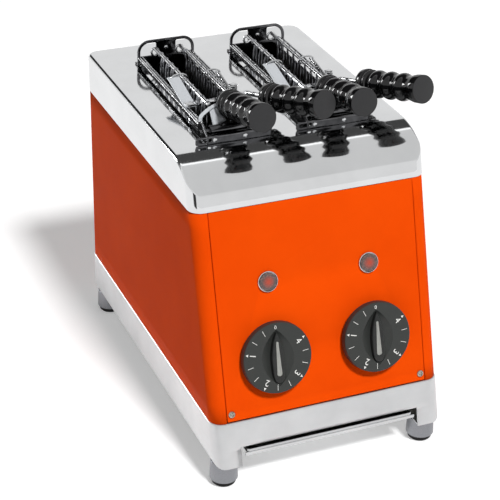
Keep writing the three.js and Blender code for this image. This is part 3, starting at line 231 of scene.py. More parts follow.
def joined(*surfaces):
    """Several surfaces as one."""
    points, faces, start = [], [], 0
    for some, their in surfaces:
        points.append(np.asarray(some, float).reshape(-1, 3))
        faces += [[start + k for k in face] for face in their]
        start += len(points[-1])
    return np.concatenate(points), faces


def moved(surface, axes=None, home=(0, 0, 0)):
    """A surface carried from its own axes (rows of axes) to a home point."""
    points, faces = surface
    points = np.asarray(points, float).reshape(-1, 3)
    if axes is not None:
        points = points @ np.asarray(axes, float)
    return points + np.asarray(home, float), faces


def ring(radius, height, angles):
    """Points (r cos a, r sin a, h) at the given angles."""
    x, y = radius * np.cos(angles), radius * np.sin(angles)
    return np.stack([x, y, 0 * angles + height], -1)


def raised(outline, height):
    """A flat outline as points at one height."""
    return np.concatenate([outline, np.full((len(outline), 1), height)], 1)


def both_halves(right):
    """Half an outline that starts and ends on the middle line, and its mirror image."""
    return np.concatenate([right, (right * [-1, 1])[::-1][1:-1]])


def around(steps):
    """Angles round a full circle, its end left out."""
    return np.linspace(0, 2 * np.pi, steps, endpoint=False)


def square_on(along, up):
    """The directions along a path made unit vectors, and the unit vectors square to them and up."""
    along = along / np.linalg.norm(along, axis=1, keepdims=True)
    aside = np.cross(np.broadcast_to(up, along.shape), along)
    return along, aside / np.linalg.norm(aside, axis=1, keepdims=True)


def turned(profile, sides):
    """A profile of (radius, height) turned about Z: (r cos a, r sin a, h) for a over the circle."""
    profile = np.asarray(profile, float)
    return sheet(ring(profile[:, 0], profile[:, 1], around(sides)[:, None]), wrap_rows=True)


def rounded_profile(corners, steps=5):
    """A profile through (x, y, fillet) corners, each fillet an arc of that radius that touches both
    sides of its corner."""
    corners = np.asarray(corners, float)
    made = []
    for k, (x, y, fillet) in enumerate(corners):
        here = np.array([x, y])
        if fillet <= 0 or k in (0, len(corners) - 1):
            made.append(here[None])
            continue
        back = corners[k - 1, :2] - here
        ahead = corners[k + 1, :2] - here
        back, ahead = back / np.linalg.norm(back), ahead / np.linalg.norm(ahead)
        half = math.acos(np.clip(back @ ahead, -1, 1)) / 2
        reach = fillet / math.tan(half)
        inwards = (back + ahead) / np.linalg.norm(back + ahead)
        middle = here + inwards * fillet / math.sin(half)
        start, end = here + back * reach - middle, here + ahead * reach - middle
        a0 = math.atan2(start[1], start[0])
        sweep = (math.atan2(end[1], end[0]) - a0 + math.pi) % (2 * math.pi) - math.pi
        a = a0 + sweep * np.linspace(0, 1, steps + 1)
        made.append(middle + fillet * np.stack([np.cos(a), np.sin(a)], -1))
    return np.concatenate(made)


def ring_outline(corners, steps=5):
    """A closed outline with filleted corners; it begins halfway along its last side."""
    corners = np.asarray(corners, float)
    start = (corners[0, :2] + corners[-1, :2]) / 2
    closed = np.concatenate([[[*start, 0]], corners, [[*start, 0]]])
    return rounded_profile(closed, steps)[:-1]


def tube(path, radius, sides=16, closed=False, up=(0, 0, 1)):
    """A round wire: each path point plus radius (cos a · aside + sin a · lift), aside and lift
    square to the path. An open wire ends in half rounds, its radius shrinking as the root of
    1 - t squared."""
    path = np.asarray(path, float)
    if closed:
        along = np.roll(path, -1, 0) - np.roll(path, 1, 0)
        radii = np.full(len(path), radius)
    else:
        t = np.sin(np.linspace(0, np.pi / 2, 5))[1:]
        first, last = path[0] - path[1], path[-1] - path[-2]
        first, last = first / np.linalg.norm(first), last / np.linalg.norm(last)
        head = path[0] + first * (radius * (t[::-1, None] - 1))
        tail = path[-1] + last * (radius * (t[:, None] - 1))
        taper = radius * np.sqrt(np.clip(1 - t**2, 0, 1))
        body = path.copy()
        body[0] = path[0] - first * radius
        body[-1] = path[-1] - last * radius
        path = np.concatenate([head, body, tail])
        radii = np.concatenate([taper[::-1], np.full(len(body), radius), taper])
        along = np.gradient(path, axis=0)
        along[: len(t) + 1] = -first
        along[-len(t) - 1 :] = last
    along, aside = square_on(along, up)
    lift = np.cross(along, aside)
    a = around(sides)[None, :, None]
    rounds = np.cos(a) * aside[:, None] + np.sin(a) * lift[:, None]
    points = path[:, None] + radii[:, None, None] * rounds
    return sheet(points, wrap_rows=closed, wrap_columns=True)


def section_along(section, path, up=(0, 0, 1)):
    """A closed flat section (across, lift) carried along a path, with flat ends."""
    path, section = np.asarray(path, float), np.asarray(section, float)
    along, aside = square_on(np.gradient(path, axis=0), up)
    aside = -aside
    lift = np.cross(aside, along)
    across, rise = section[None, :, 0, None], section[None, :, 1, None]
    points = path[:, None] + across * aside[:, None] + rise * lift[:, None]
    return sheet(points, wrap_columns=True, ends=(0, -1))


def bent(points, radius, steps=6):
    """A polyline whose inner corners are quadratic curves (1-t)^2 S + 2t(1-t) P + t^2 E that start
    at S and end at E, radius away from the corner P."""
    points = np.asarray(points, float)
    made = [points[:1]]
    t = np.linspace(0, 1, steps + 1)[:, None]
    for before, here, after in zip(points[:-2], points[1:-1], points[2:]):
        back, ahead = before - here, after - here
        reach = min(radius, np.linalg.norm(back) * 0.49, np.linalg.norm(ahead) * 0.49)
        start = here + back / np.linalg.norm(back) * reach
        end = here + ahead / np.linalg.norm(ahead) * reach
        made.append((1 - t) ** 2 * start + 2 * t * (1 - t) * here + t**2 * end)
    made.append(points[-1:])
    return np.concatenate(made)


def through(points, steps=8):
    """A smooth path through points: between two of them the cubic
    (2b + (c-a)t + (2a-5b+4c-d)t^2 + (3b-a-3c+d)t^3) / 2."""
    p = np.asarray(points, float)
    p = np.concatenate([[2 * p[0] - p[1]], p, [2 * p[-1] - p[-2]]])
    t = np.linspace(0, 1, steps, endpoint=False)[None, :, None]
    a, b, c, d = (p[k : len(p) - 3 + k, None] for k in range(4))
    bow, turn = 2 * a - 5 * b + 4 * c - d, 3 * b - a - 3 * c + d
    made = (2 * b + (c - a) * t + bow * t**2 + turn * t**3) / 2
    return np.concatenate([made.reshape(-1, 3), p[-2:-1]])


def block(low, high, round_edge, steps=3):
    """A box with rounded edges: a small sphere pulled apart, round_edge · n + sign(n) · core, with
    core the half sizes less the rounding."""
    low, high = np.asarray(low, float), np.asarray(high, float)
    quarter = np.linspace(0, np.pi / 2, steps + 1)
    u = np.concatenate([quarter + k * np.pi / 2 for k in range(4)])
    v = np.concatenate([quarter - np.pi / 2, quarter])[:, None]
    sx = np.repeat([1, -1, -1, 1], steps + 1)
    sy = np.repeat([1, 1, -1, -1], steps + 1)
    sz = np.repeat([-1, 1], steps + 1)[:, None]
    core = (high - low) / 2 - round_edge
    x = round_edge * np.cos(v) * np.cos(u) + sx * core[0]
    y = round_edge * np.cos(v) * np.sin(u) + sy * core[1]
    z = round_edge * np.sin(v) + 0 * x + sz * core[2]
    made = sheet(np.stack([x, y, z], -1), wrap_columns=True, ends=(0, -1))
    return moved(made, home=(low + high) / 2)


def rounded_outline(x0, y0, x1, y1, radius, steps=8):
    """A rectangle with quarter-circle corners, anticlockwise."""
    q = np.linspace(0, np.pi / 2, steps + 1)
    a = np.concatenate([q + k * np.pi / 2 for k in range(4)])
    cx = np.repeat([x1 - radius, x0 + radius, x0 + radius, x1 - radius], steps + 1)
    cy = np.repeat([y1 - radius, y1 - radius, y0 + radius, y0 + radius], steps + 1)
    return np.stack([cx + radius * np.cos(a), cy + radius * np.sin(a)], -1)


def circle_outline(x, y, radius, steps=32):
    """A circle about (x, y)."""
    return ring(radius, 0, around(steps))[:, :2] + [x, y]


def vertices_of(mesh):
    """A mesh's vertices as rows of xyz."""
    points = np.zeros(len(mesh.vertices) * 3)
    mesh.vertices.foreach_get("co", points)
    return points.reshape(-1, 3)


def meshed(curve):
    """The surface that Blender makes of a flat curve or of text; the curve itself is removed."""
    carrier = bpy.data.objects.new(curve.name, curve)
    bpy.context.scene.collection.objects.link(carrier)
    bpy.context.view_layer.update()
    ready = carrier.evaluated_get(bpy.context.evaluated_depsgraph_get())
    mesh = bpy.data.meshes.new_from_object(ready)
    surface = vertices_of(mesh), [list(p.vertices) for p in mesh.polygons]
    bpy.data.objects.remove(carrier)
    bpy.data.curves.remove(curve)
    bpy.data.meshes.remove(mesh)
    return surface


def stamped(outline, holes, low, high, edge):
    """A stamped plate: a flat outline with holes, raised from low to high, its edges rounded."""
    curve = bpy.data.curves.new("stamping", "CURVE")
    curve.dimensions = "2D"
    curve.fill_mode = "BOTH"
    curve.extrude = max((high - low) / 2 - edge, 0)
    curve.bevel_depth = edge
    curve.bevel_resolution = 2
    curve.offset = -edge
    for loop in [outline, *holes]:
        line = curve.splines.new("POLY")
        line.points.add(len(loop) - 1)
        # Each point's own weight of 1 follows its place
        line.points.foreach_set("co", np.insert(raised(loop, 0), 3, 1, 1).ravel())
        line.use_cyclic_u = True
    return moved(meshed(curve), home=(0, 0, (low + high) / 2))


def fill_with_holes(loops):
    """Flat faces between an outer loop and the holes in it, all at one height, by Blender's
    triangle fill."""
    work = bmesh.new()
    for loop in loops:
        corners = [work.verts.new(p) for p in loop]
        for one, two in zip(corners, corners[1:] + corners[:1]):
            work.edges.new((one, two))
    bmesh.ops.triangle_fill(
        work, use_beauty=True, use_dissolve=False, edges=work.edges, normal=(0, 0, 1)
    )
    work.verts.index_update()
    made = np.array([v.co for v in work.verts]), [[v.index for v in f.verts] for f in work.faces]
    work.free()
    return made


def piece(name, surface, material, body, replaced=(), slot=None, wall=0, bend=35):
    """Makes a mesh object from a surface, closes its seams, turns its faces outwards and lets it
    ride on a body. With a wall it is an open skin that gets that thickness on its inner side."""
    points, faces = surface
    mesh = bpy.data.meshes.new(name)
    mesh.from_pydata(np.asarray(points).tolist(), [], faces)
    work = bmesh.new()
    work.from_mesh(mesh)
    bmesh.ops.remove_doubles(work, verts=work.verts, dist=2e-6)
    bmesh.ops.dissolve_degenerate(work, dist=1e-7, edges=work.edges)
    bmesh.ops.recalc_face_normals(work, faces=work.faces)
    if wall:
        places = [f.calc_center_median() for f in work.faces]
        middle = sum(places, Vector()) / len(places)
        shares = (f.normal.dot(p - middle) * f.calc_area() for f, p in zip(work.faces, places))
        if sum(shares) < 0:
            bmesh.ops.reverse_faces(work, faces=work.faces)
    work.to_mesh(mesh)
    work.free()
    mesh.shade_smooth()
    mesh.set_sharp_from_angle(angle=math.radians(bend))
    mesh.materials.append(material)
    made = bpy.data.objects.new(name, mesh)
    bpy.context.scene.collection.objects.link(made)
    if wall:
        solid = made.modifiers.new("wall", "SOLIDIFY")
        solid.thickness = wall
        solid.offset = -1
        solid.use_even_offset = True
        solid.use_rim = True
    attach(made, body)
    if replaced:
        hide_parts(*replaced)
    return made


# Finishes


def add(tree, kind, sockets=None, **settings):
    """Adds a node: settings are its own properties, sockets are values or other nodes' outputs by
    input name."""
    made = tree.nodes.new(kind)
    for name, value in settings.items():
        setattr(made, name, value)
    for key, value in (sockets or {}).items():
        if isinstance(value, bpy.types.NodeSocket):
            tree.links.new(value, made.inputs[key])
        else:
            made.inputs[key].default_value = value
    return made


def cleared(owner):
    """The emptied node tree of a material or a world."""
    owner.use_nodes = True
    owner.node_tree.nodes.clear()
    return owner.node_tree


def coating(name, build):
    """The material of this name. Where there is none yet, build(tree, place) adds its nodes, with
    place the Object coordinates, and gives the sockets of its shader."""
    found = bpy.data.materials.get(name)
    if found:
        return found
    made = bpy.data.materials.new(name)
    tree = cleared(made)
    place = add(tree, "ShaderNodeTexCoord").outputs["Object"]
    coat = add(tree, "ShaderNodeBsdfPrincipled", build(tree, place))
    add(tree, "ShaderNodeOutputMaterial", {"Surface": coat.outputs[0]})
    return made


METAL = {"Metallic": 1.0}
# The part of a noise that is spread over a whole range of colour or roughness
MIDDLE = {"From Min": 0.3, "From Max": 0.7}


def grained(name, shader, colour, gloss=None, relief=None):
    """A finish whose colour, roughness and relief follow noises in the piece's own space.

    colour is (grain, first, second), gloss is (grain, low, high) and relief is (grain, metres,
    strength). A grain is its width in millimetres, its detail and, where it is drawn out, a
    stretch for each axis; a grain that is named twice is one noise."""

    def build(tree, place):
        noises = {}
        for grain in {use[0]: None for use in (colour, gloss, relief) if use}:
            width, detail, *stretch = grain
            scale = {"Vector": place, "Scale": stretch[0] if stretch else (1, 1, 1)}
            scaled = add(tree, "ShaderNodeMapping", scale).outputs[0]
            size = {"Vector": scaled, "Scale": 1000 / width, "Detail": detail, "Roughness": 0.55}
            noises[grain] = add(tree, "ShaderNodeTexNoise", size).outputs["Fac"]
        share = add(tree, "ShaderNodeMapRange", {"Value": noises[colour[0]], **MIDDLE})
        first, second = (linear(c) if isinstance(c, str) else c for c in colour[1:])
        blend = {"Factor": share.outputs[0], "A": first, "B": second}
        mixed = add(tree, "ShaderNodeMix", blend, data_type="RGBA")
        sockets = {**shader, "Base Color": mixed.outputs["Result"]}
        if gloss:
            limits = {"Value": noises[gloss[0]], **MIDDLE, "To Min": gloss[1], "To Max": gloss[2]}
            sockets["Roughness"] = add(tree, "ShaderNodeMapRange", limits).outputs[0]
        if relief:
            height = {"Height": noises[relief[0]], "Distance": relief[1], "Strength": relief[2]}
            sockets["Normal"] = add(tree, "ShaderNodeBump", height).outputs[0]
        return sockets

    return coating(name, build)


def mirror_stainless():
    """Stainless sheet, buffed to a mirror: a faint haze in patches and a very slow waviness of the
    pressed sheet."""
    haze, wave = (28, 4), (90, 1)
    return grained(
        "buffed_mirror_stainless_steel", METAL,
        (haze, "D8D9DA", "DEDFE0"), (haze, 0.065, 0.09), (wave, 0.0002, 0.12),
    )


def satin_stainless():
    """Stainless sheet ground along its length: a satin sheen with short scratches, drawn coarser
    than real ones so that they show."""
    cloud, scratches = (40, 3), (0.9, 4, (0.03, 0.03, 1))
    return grained(
        "satin_ground_stainless_steel", METAL,
        (cloud, "C9CACB", "D6D7D8"), (scratches, 0.3, 0.42), (scratches, 0.00003, 0.5),
    )


def drawn_wire():
    """Bright drawn wire, chromed: a clean sharp gloss with faint dulling."""
    dull = 6, 3
    return grained("chromed_drawn_wire", METAL, (dull, "BFC0C2", "DADBDC"), (dull, 0.1, 0.22))


def screw_zinc():
    """Screw steel, zinc-plated and passivated: grey with a yellowish cast, its film uneven."""
    film = 1.4, 3
    return grained("passivated_zinc_screw", METAL, (film, "98968C", "C4C2BA"), (film, 0.22, 0.36))


def dark_reflection_steel():
    """Polished stainless plate, its colour painted dark to stand in for the dark surroundings that
    it mirrors: a painted dark reflection, a deep smoky mirror with faint clouds."""
    cloud = 11, 4
    return grained(
        # Dark greys that paint in the reflection of dark surroundings
        "polished_steel_painted_dark_reflection", METAL, (cloud, "464648", "68686A"), (cloud, 0.07, 0.16)
    )


def dulled_wire():
    """Drawn wire gone grey over the heaters: dull, with darker stretches."""
    scale = 9, 3
    return grained("heat_dulled_drawn_wire", METAL, (scale, "85868A", "B2B3B7"), (scale, 0.24, 0.4))


def blasted_strip():
    """Steel strip, shot-blasted and zinc-plated: pale and nearly matt, with a grain that is drawn
    coarser than real so that it shows."""
    grain = 0.7, 3
    return grained(
        "blasted_zinc_plated_strip", {"Metallic": 0.2},
        (grain, "C6CACE", "DADDE1"), (grain, 0.45, 0.6), (grain, 0.00004, 0.4),
    )


def spring_wire():
    """Patented spring wire, oiled: greyer than the chrome, in soft patches."""
    marks = 1.5, 2
    return grained("oiled_spring_wire", METAL, (marks, "7E7F80", "A3A4A5"), (marks, 0.3, 0.45))


def heat_sheet():
    """Aluminised sheet of the heat chambers: dull 7 mm spangle with straw and brown heat tint."""

    def build(tree, place):
        cells = {"Vector": place, "Scale": 1000 / 7}
        spangle = add(tree, "ShaderNodeTexVoronoi", cells, feature="F1").outputs["Distance"]
        patches = {"Vector": place, "Scale": 1000 / 55, "Detail": 3, "Roughness": 0.55}
        haze = add(tree, "ShaderNodeTexNoise", patches).outputs["Fac"]
        flake = add(tree, "ShaderNodeMapRange", {"Value": spangle, "From Max": 0.6}).outputs[0]
        greys = {"Factor": flake, "A": linear("5E5C59"), "B": linear("77746F")}
        cool = add(tree, "ShaderNodeMix", greys, data_type="RGBA").outputs["Result"]
        heat = add(tree, "ShaderNodeMapRange", {"Value": haze, **MIDDLE, "To Max": 0.7}).outputs[0]
        browns = {"Factor": heat, "A": cool, "B": linear("5A4936")}
        warm = add(tree, "ShaderNodeMix", browns, data_type="RGBA").outputs["Result"]
        limits = {"Value": haze, **MIDDLE, "To Min": 0.42, "To Max": 0.6}
        height = {"Height": spangle, "Distance": 0.0001, "Strength": 0.3}
        return {
            "Metallic": 0.9,
            "Base Color": warm,
            "Roughness": add(tree, "ShaderNodeMapRange", limits).outputs[0],
            "Normal": add(tree, "ShaderNodeBump", height).outputs[0],
        }

    return coating("aluminised_heat_sheet", build)


def stove_enamel():
    """Steel sheet, sprayed and stoved orange enamel: an even silky colour with a fine orange
    peel."""
    paint = [*chosen("finishes").paint, 1]
    deep = [paint[0] * 0.93, paint[1] * 0.86, paint[2] * 0.8, 1]
    cloud, peel = (70, 3), (1.6, 2)
    return grained(
        "stoved_orange_enamel", {"Specular IOR Level": 0.01},
        (cloud, paint, deep), (peel, 0.42, 0.5), (peel, 0.00004, 0.25),
    )


def phenolic():
    """Phenolic moulding, tumbled to a gloss: near black, with the slight ripple of a moulded
    skin."""
    black = [*chosen("finishes").handle, 1]
    grey = [v * 1.6 for v in black[:3]] + [1]
    ripple = 5, 2
    return grained(
        "black_phenolic_moulding", {"Specular IOR Level": 0.42},
        (ripple, black, grey), (ripple, 0.05, 0.09), (ripple, 0.0001, 0.1),
    )


def faced_phenolic():
    """The same moulding where its end was faced off: dull and slightly paler, with a fine grit that
    is drawn coarser than real so that it shows."""
    dust = 0.8, 4
    return grained(
        "faced_phenolic_end", {"Specular IOR Level": 0.35},
        (dust, "262627", "323233"), (dust, 0.5, 0.65), (dust, 0.00005, 0.4),
    )


def dial_abs():
    """ABS with a spark-eroded skin: even dark grey with a soft sheen and a grit that is drawn
    coarser than real so that it shows."""
    grey = [*chosen("finishes").dial, 1]
    dark = [v * 0.8 for v in grey[:3]] + [1]
    grit = 0.5, 3
    return grained(
        "spark_textured_grey_abs", {"Specular IOR Level": 0.4},
        (grit, grey, dark), (grit, 0.4, 0.52), (grit, 0.00003, 0.4),
    )


def grip_abs():
    """The dial's pointer grip in ABS: nearly black, darker than the dial, with a low gloss."""
    wear = 4, 3
    return grained(
        "near_black_grip_abs", {"Specular IOR Level": 0.35},
        (wear, "1C1D1C", "272827"), (wear, 0.32, 0.45),
    )


def printing_ink():
    """Pad-printing ink, white: flat, a little thin in places."""
    thin = 0.7, 2
    return grained(
        "white_pad_print_ink", {"Roughness": 0.55},
        (thin, "F4F4F0", "DEDEDA"), relief=(thin, 0.00002, 0.3),
    )


def foil_inlay():
    """Hot-stamped silver foil in the grip: grey with streaks along its length."""
    streak = 1.2, 3, (1, 0.15, 0.15)
    return grained(
        "hot_stamped_silver_foil", {"Metallic": 0.35},
        (streak, "8E8F8A", "A9AAA5"), (streak, 0.35, 0.5),
    )


def foot_rubber():
    """Nitrile rubber, moulded: black and dull, with a dusty bloom."""
    bloom = 3, 4
    return grained(
        "moulded_nitrile_rubber", {"Specular IOR Level": 0.3},
        (bloom, "101010", "1E1E1E"), (bloom, 0.65, 0.85), (bloom, 0.0001, 0.3),
    )


def turned_aluminium():
    """Aluminium, turned and bead-blasted: pale grey with a soft broad sheen; the beads' marks are
    drawn coarser than real so that they show."""
    bead = 0.6, 3
    return grained(
        "blasted_turned_aluminium", METAL,
        (bead, "85868A", "97989C"), (bead, 0.36, 0.48), (bead, 0.00003, 0.4),
    )


def lamp_lens():
    """Polycarbonate lens, moulded with 1.7 mm prisms inside: smoky towards its rim, with a dull
    red core."""

    def build(tree, place):
        cells = {"Vector": place, "Scale": 1000 / 1.7}
        prism = add(tree, "ShaderNodeTexVoronoi", cells, feature="F1").outputs["Distance"]
        facets = {"Value": prism, "From Min": 0.1, "From Max": 0.6}
        facet = add(tree, "ShaderNodeMapRange", facets).outputs[0]
        greys = {"Factor": facet, "A": linear("7D5F58"), "B": linear("4E4340")}
        smoke = add(tree, "ShaderNodeMix", greys, data_type="RGBA").outputs["Result"]
        out = add(tree, "ShaderNodeAttribute", attribute_name="share_of_radius").outputs["Fac"]
        rims = {"Value": out, "From Min": 0.1, "From Max": 0.75}
        rim = add(tree, "ShaderNodeMapRange", rims).outputs[0]
        blend = {"Factor": rim, "A": [*chosen("finishes").lens, 1], "B": smoke}
        height = {"Height": prism, "Distance": 0.0004, "Strength": 0.5}
        return {
            "Base Color": add(tree, "ShaderNodeMix", blend, data_type="RGBA").outputs["Result"],
            "Roughness": 0.3,
            "Coat Weight": 0.4,
            "Coat Roughness": 0.1,
            "Normal": add(tree, "ShaderNodeBump", height).outputs[0],
        }

    return coating("prismatic_amber_polycarbonate", build)


def quartz_glass():
    """Fused quartz tube over its coil: milky white with a clear gloss."""
    coil = 4, 2, (0.1, 2, 0.1)
    return grained(
        "milky_quartz_tube", {"Coat Weight": 0.5, "Roughness": 0.3}, (coil, "D8D2C6", "EAE6DE")
    )


def nylon():
    """Glass-filled nylon, moulded: black and dull."""
    fibre = 1.2, 3
    return grained(
        "black_glass_filled_nylon", {"Specular IOR Level": 0.4},
        (fibre, "171819", "232425"), (fibre, 0.5, 0.65), (fibre, 0.00005, 0.4),
    )


# Casing


def casing_rings(z, side, front, back, front_round, back_round):
    """Rounded rectangles in plan, one per height: lines at plus and minus side, front and back, and
    quarter circles between them; anticlockwise from above, open in the middle of the front."""
    a = np.linspace(0, np.pi / 2, chosen("casing").corner_steps + 1)[None]
    rows = (v + 0 * z for v in (z, side, front, back, front_round, back_round))
    z, side, front, back, fr, br = (v[:, None] for v in rows)
    corners = (
        (side - fr, front + fr, fr), (side - br, back - br, br),
        (br - side, back - br, br), (fr - side, front + fr, fr),
    )
    loops = []
    for k, (x, y, r) in enumerate(corners):
        turn = a - np.pi / 2 + k * np.pi / 2
        loops.append(np.stack([x + r * np.cos(turn), y + r * np.sin(turn), z + 0 * turn], -1))
    return np.concatenate(loops, 1) + [CASING_X, 0, 0]


def sweep_start():
    """Where the level top ends and the sweep begins, so that the sweep meets the leaning skirt at
    its height."""
    s = chosen("casing")
    turn = math.acos(1 - (COVER_TOP - COVER_LOW - s.skirt_height) / s.sweep_radius)
    return front_line(COVER_LOW + s.skirt_height) + s.sweep_radius * math.sin(turn)


def cover_height(y):
    """Height of the cover's upper face at y: level, and ahead of the sweep's start the arc
    cz + root(R^2 - (cy - y)^2)."""
    radius = chosen("casing").sweep_radius
    ahead = np.clip(sweep_start() - np.asarray(y, float), 0, radius)
    return COVER_TOP - radius + np.sqrt(radius**2 - ahead**2)


def cover_border():
    """The right half of the cover's border, from the middle of the front to the middle of the back:
    foot points on the lower edge, crest points where wall and upper face would meet sharp, the
    direction down the wall and the inward direction of the upper face. Crests are found by
    repeating z = height(y(z)), which closes in because the front leans less than the sweep."""
    s = chosen("casing")
    corner, start = s.corner_radius, sweep_start()
    straight = HALF_WIDTH - corner
    a = np.linspace(0, np.pi / 2, s.corner_steps + 1)
    # Front and front corner: x, the way behind the leaning front line, and the outward direction
    across = np.linspace(0, straight, EDGE_STEPS + 1)[:-1]
    x = np.concatenate([across, straight + corner * np.sin(a)])
    behind = np.concatenate([0 * across, corner * (1 - np.cos(a))])
    lead_out = np.concatenate(
        [np.tile([0, -1.0], (EDGE_STEPS, 1)), np.stack([np.sin(a), -np.cos(a)], -1)]
    )
    z = np.full(len(x), COVER_TOP)
    for _ in range(40):
        z = cover_height(front_line(z) + behind)
    lead_crest = np.stack([x, front_line(z) + behind, z], -1)
    lead_foot = np.stack([x, front_line(COVER_LOW) + behind, np.full(len(x), COVER_LOW)], -1)
    # Side, back corner and back: upright walls
    sweep, level = lead_crest[-1, 1], CASING_BACK - corner
    y = np.concatenate([np.linspace(sweep, start, 30)[1:], np.linspace(start, level, 14)[1:-1]])
    side = np.stack([0 * y + HALF_WIDTH, y], -1)
    turn = np.stack([straight + corner * np.cos(a), level + corner * np.sin(a)], -1)
    rear = np.linspace(straight, 0, EDGE_STEPS + 1)[1:]
    plan = np.concatenate([side, turn, np.stack([rear, 0 * rear + CASING_BACK], -1)])
    rest_out = np.concatenate(
        [
            np.tile([1.0, 0], (len(side), 1)), np.stack([np.cos(a), np.sin(a)], -1),
            np.tile([0, 1.0], (len(rear), 1)),
        ]
    )
    rest_crest = np.concatenate([plan, cover_height(plan[:, 1])[:, None]], 1)
    crest = np.concatenate([lead_crest, rest_crest])
    foot = np.concatenate([lead_foot, raised(plan, COVER_LOW)])
    down = np.concatenate(
        [np.tile([0, -SLOPE, -1.0], (len(x), 1)), np.tile([0, 0, -1.0], (len(plan), 1))]
    )
    down /= np.linalg.norm(down, axis=1, keepdims=True)
    out = np.concatenate([lead_out, rest_out])
    ahead = np.clip(start - crest[:, 1], 0, None)
    slope = ahead / np.sqrt(s.sweep_radius**2 - ahead**2)
    inward = np.concatenate([-out, (-out[:, 1] * slope)[:, None]], 1)
    inward /= np.linalg.norm(inward, axis=1, keepdims=True)
    return foot, crest, down, inward


def slot_lines(side):
    """A slot's middle across, and its front and back ends, from the heat chamber under it."""
    low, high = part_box("heat_chamber_" + side)
    front_in, back_in = 0.007, 0.010
    return (low.x + high.x) / 2, low.y + front_in, high.y - back_in


class TOASTER_OT_cover(bpy.types.Operator):
    """Mirror-finished cover with both slots punched out"""

    bl_idname = "toaster.cover"
    bl_label = "Cover"

    def execute(self, context):
        s = chosen("casing")
        foot, crest, down, inward = cover_border()
        # The fold is a circle's arc, written as (1-t)^2 W + 2t(1-t)w P + t^2 T over the sum of
        # its weights
        half = np.arccos(np.clip((down * inward).sum(1), -1, 1)) / 2
        reach = (s.cover_edge_radius / np.tan(half))[:, None]
        wall, top = crest + reach * down, crest + reach * inward
        t = np.linspace(0, 1, 9)[:, None, None]
        weight = 2 * t * (1 - t) * np.sin(half)[None, :, None]
        total = (1 - t) ** 2 + weight + t**2
        fold = ((1 - t) ** 2 * wall + weight * crest + t**2 * top) / total
        right = np.concatenate([foot[None], (foot * 0.5 + wall * 0.5)[None], fold])
        mirror, home = np.array([-1, 1, 1]), np.array([CASING_X, 0, 0])
        border = np.concatenate([right, (right * mirror)[:, ::-1][:, 1:-1]], 1)
        # The sweep: straight lines across from border to border
        last = int(np.argmin(np.abs(crest[:, 1] - sweep_start())))
        share = np.linspace(-1, 1, 25)
        lines = np.stack([share, 1 + 0 * share, 1 + 0 * share], -1)
        sweep = top[EDGE_STEPS : last + 1, None] * lines
        # The level part: what the sweep's last line and the border close in, less the slots
        rest = top[last:]
        level = np.concatenate([rest, (rest * mirror)[::-1][1:], (top[last] * lines)[1:-1]])
        loops = [level + home]
        for side in SIDES:
            x, y0, y1 = slot_lines(side)
            slot = rounded_outline(x - SLOT_HALF, y0, x + SLOT_HALF, y1, SLOT_ROUND)
            loops.append(raised(slot, COVER_TOP))
        skin = joined(
            sheet(border + home, wrap_columns=True), sheet(sweep + home), fill_with_holes(loops)
        )
        made = piece(
            "cover", skin, mirror_stainless(), "casing", ["top_cover"], "mirror_steel",
            wall=s.sheet, bend=50,
        )
        even = made.modifiers.new("even shading", "WEIGHTED_NORMAL")
        even.mode, even.weight, even.keep_sharp = "FACE_AREA", 100, True
        return {"FINISHED"}


class TOASTER_OT_wrapper(bpy.types.Operator):
    """Painted wrapper round both sides and the back, with joggled flanges behind the front panel"""

    bl_idname = "toaster.wrapper"
    bl_label = "Wrapper"

    def execute(self, context):
        s = chosen("casing")
        inset, gap = s.wrapper_inset, 0.0003
        seam, fold, step, flange = HALF_WIDTH - 0.0145, 0.0008, 0.0036, 0.009
        z = np.linspace(PLINTH_TOP + gap, COVER_LOW - gap, 12)
        front = front_line(z) + inset / math.cos(LEAN)
        rings = casing_rings(
            z, HALF_WIDTH - inset, front, CASING_BACK - inset,
            s.corner_radius, s.corner_radius - inset,
        )
        # The fold at the seam: a small round, a step back and the flange
        q = np.linspace(0, np.pi / 2, 5)
        x = np.concatenate([seam + fold * (1 - np.sin(q)), [seam, seam - flange]])
        y = np.concatenate([fold * (1 - np.cos(q)), [step, step]])
        level = z[:, None] + 0 * x
        right, left = (
            np.stack([CASING_X + sign * x + 0 * level, front[:, None] + y, level], -1)
            for sign in (1, -1)
        )
        path = np.concatenate([right[:, ::-1], rings, left], 1)
        piece(
            "wrapper", sheet(path), stove_enamel(), "casing", ["body_wrapper"], "orange_paint",
            wall=s.sheet,
        )
        return {"FINISHED"}


def on_front(surface, place=(0, 0), sign=1):
    """A surface drawn about a place on the leaning front, on the side of sign, carried to the
    frame."""
    home = SLOPE_HOME + np.array([sign * place[0], place[1], 0]) @ SLOPE_AXES
    return moved(surface, SLOPE_AXES, home)


class TOASTER_OT_front_panel(bpy.types.Operator):
    """Painted front panel, bored for the dials, the lamps and its two screws"""

    bl_idname = "toaster.front_panel"
    bl_label = "Front panel"

    def execute(self, context):
        # Seams below and above it, its corners, then its back, its face and their rounding
        seam_low, seam_high, corner = 0.0012, 0.0006, 0.0009
        back, face, edge = -0.0021, -0.0006, 0.00045
        high = (COVER_LOW - PLINTH_TOP) / math.cos(LEAN) - seam_high
        outline = rounded_outline(-PANEL_HALF, seam_low, PANEL_HALF, high, corner, 4)
        bores = (DIAL_PLACE, 0.0063), (LAMP_PLACE, 0.0065), (SCREW_PLACE, 0.002)
        holes = [
            circle_outline(sign * x, y, radius)
            for sign in SIDES.values()
            for (x, y), radius in bores
        ]
        piece(
            "front_plate", on_front(stamped(outline, holes, back, face, edge)), stove_enamel(),
            "casing", ["front_panel"], "orange_paint", bend=40,
        )
        return {"FINISHED"}


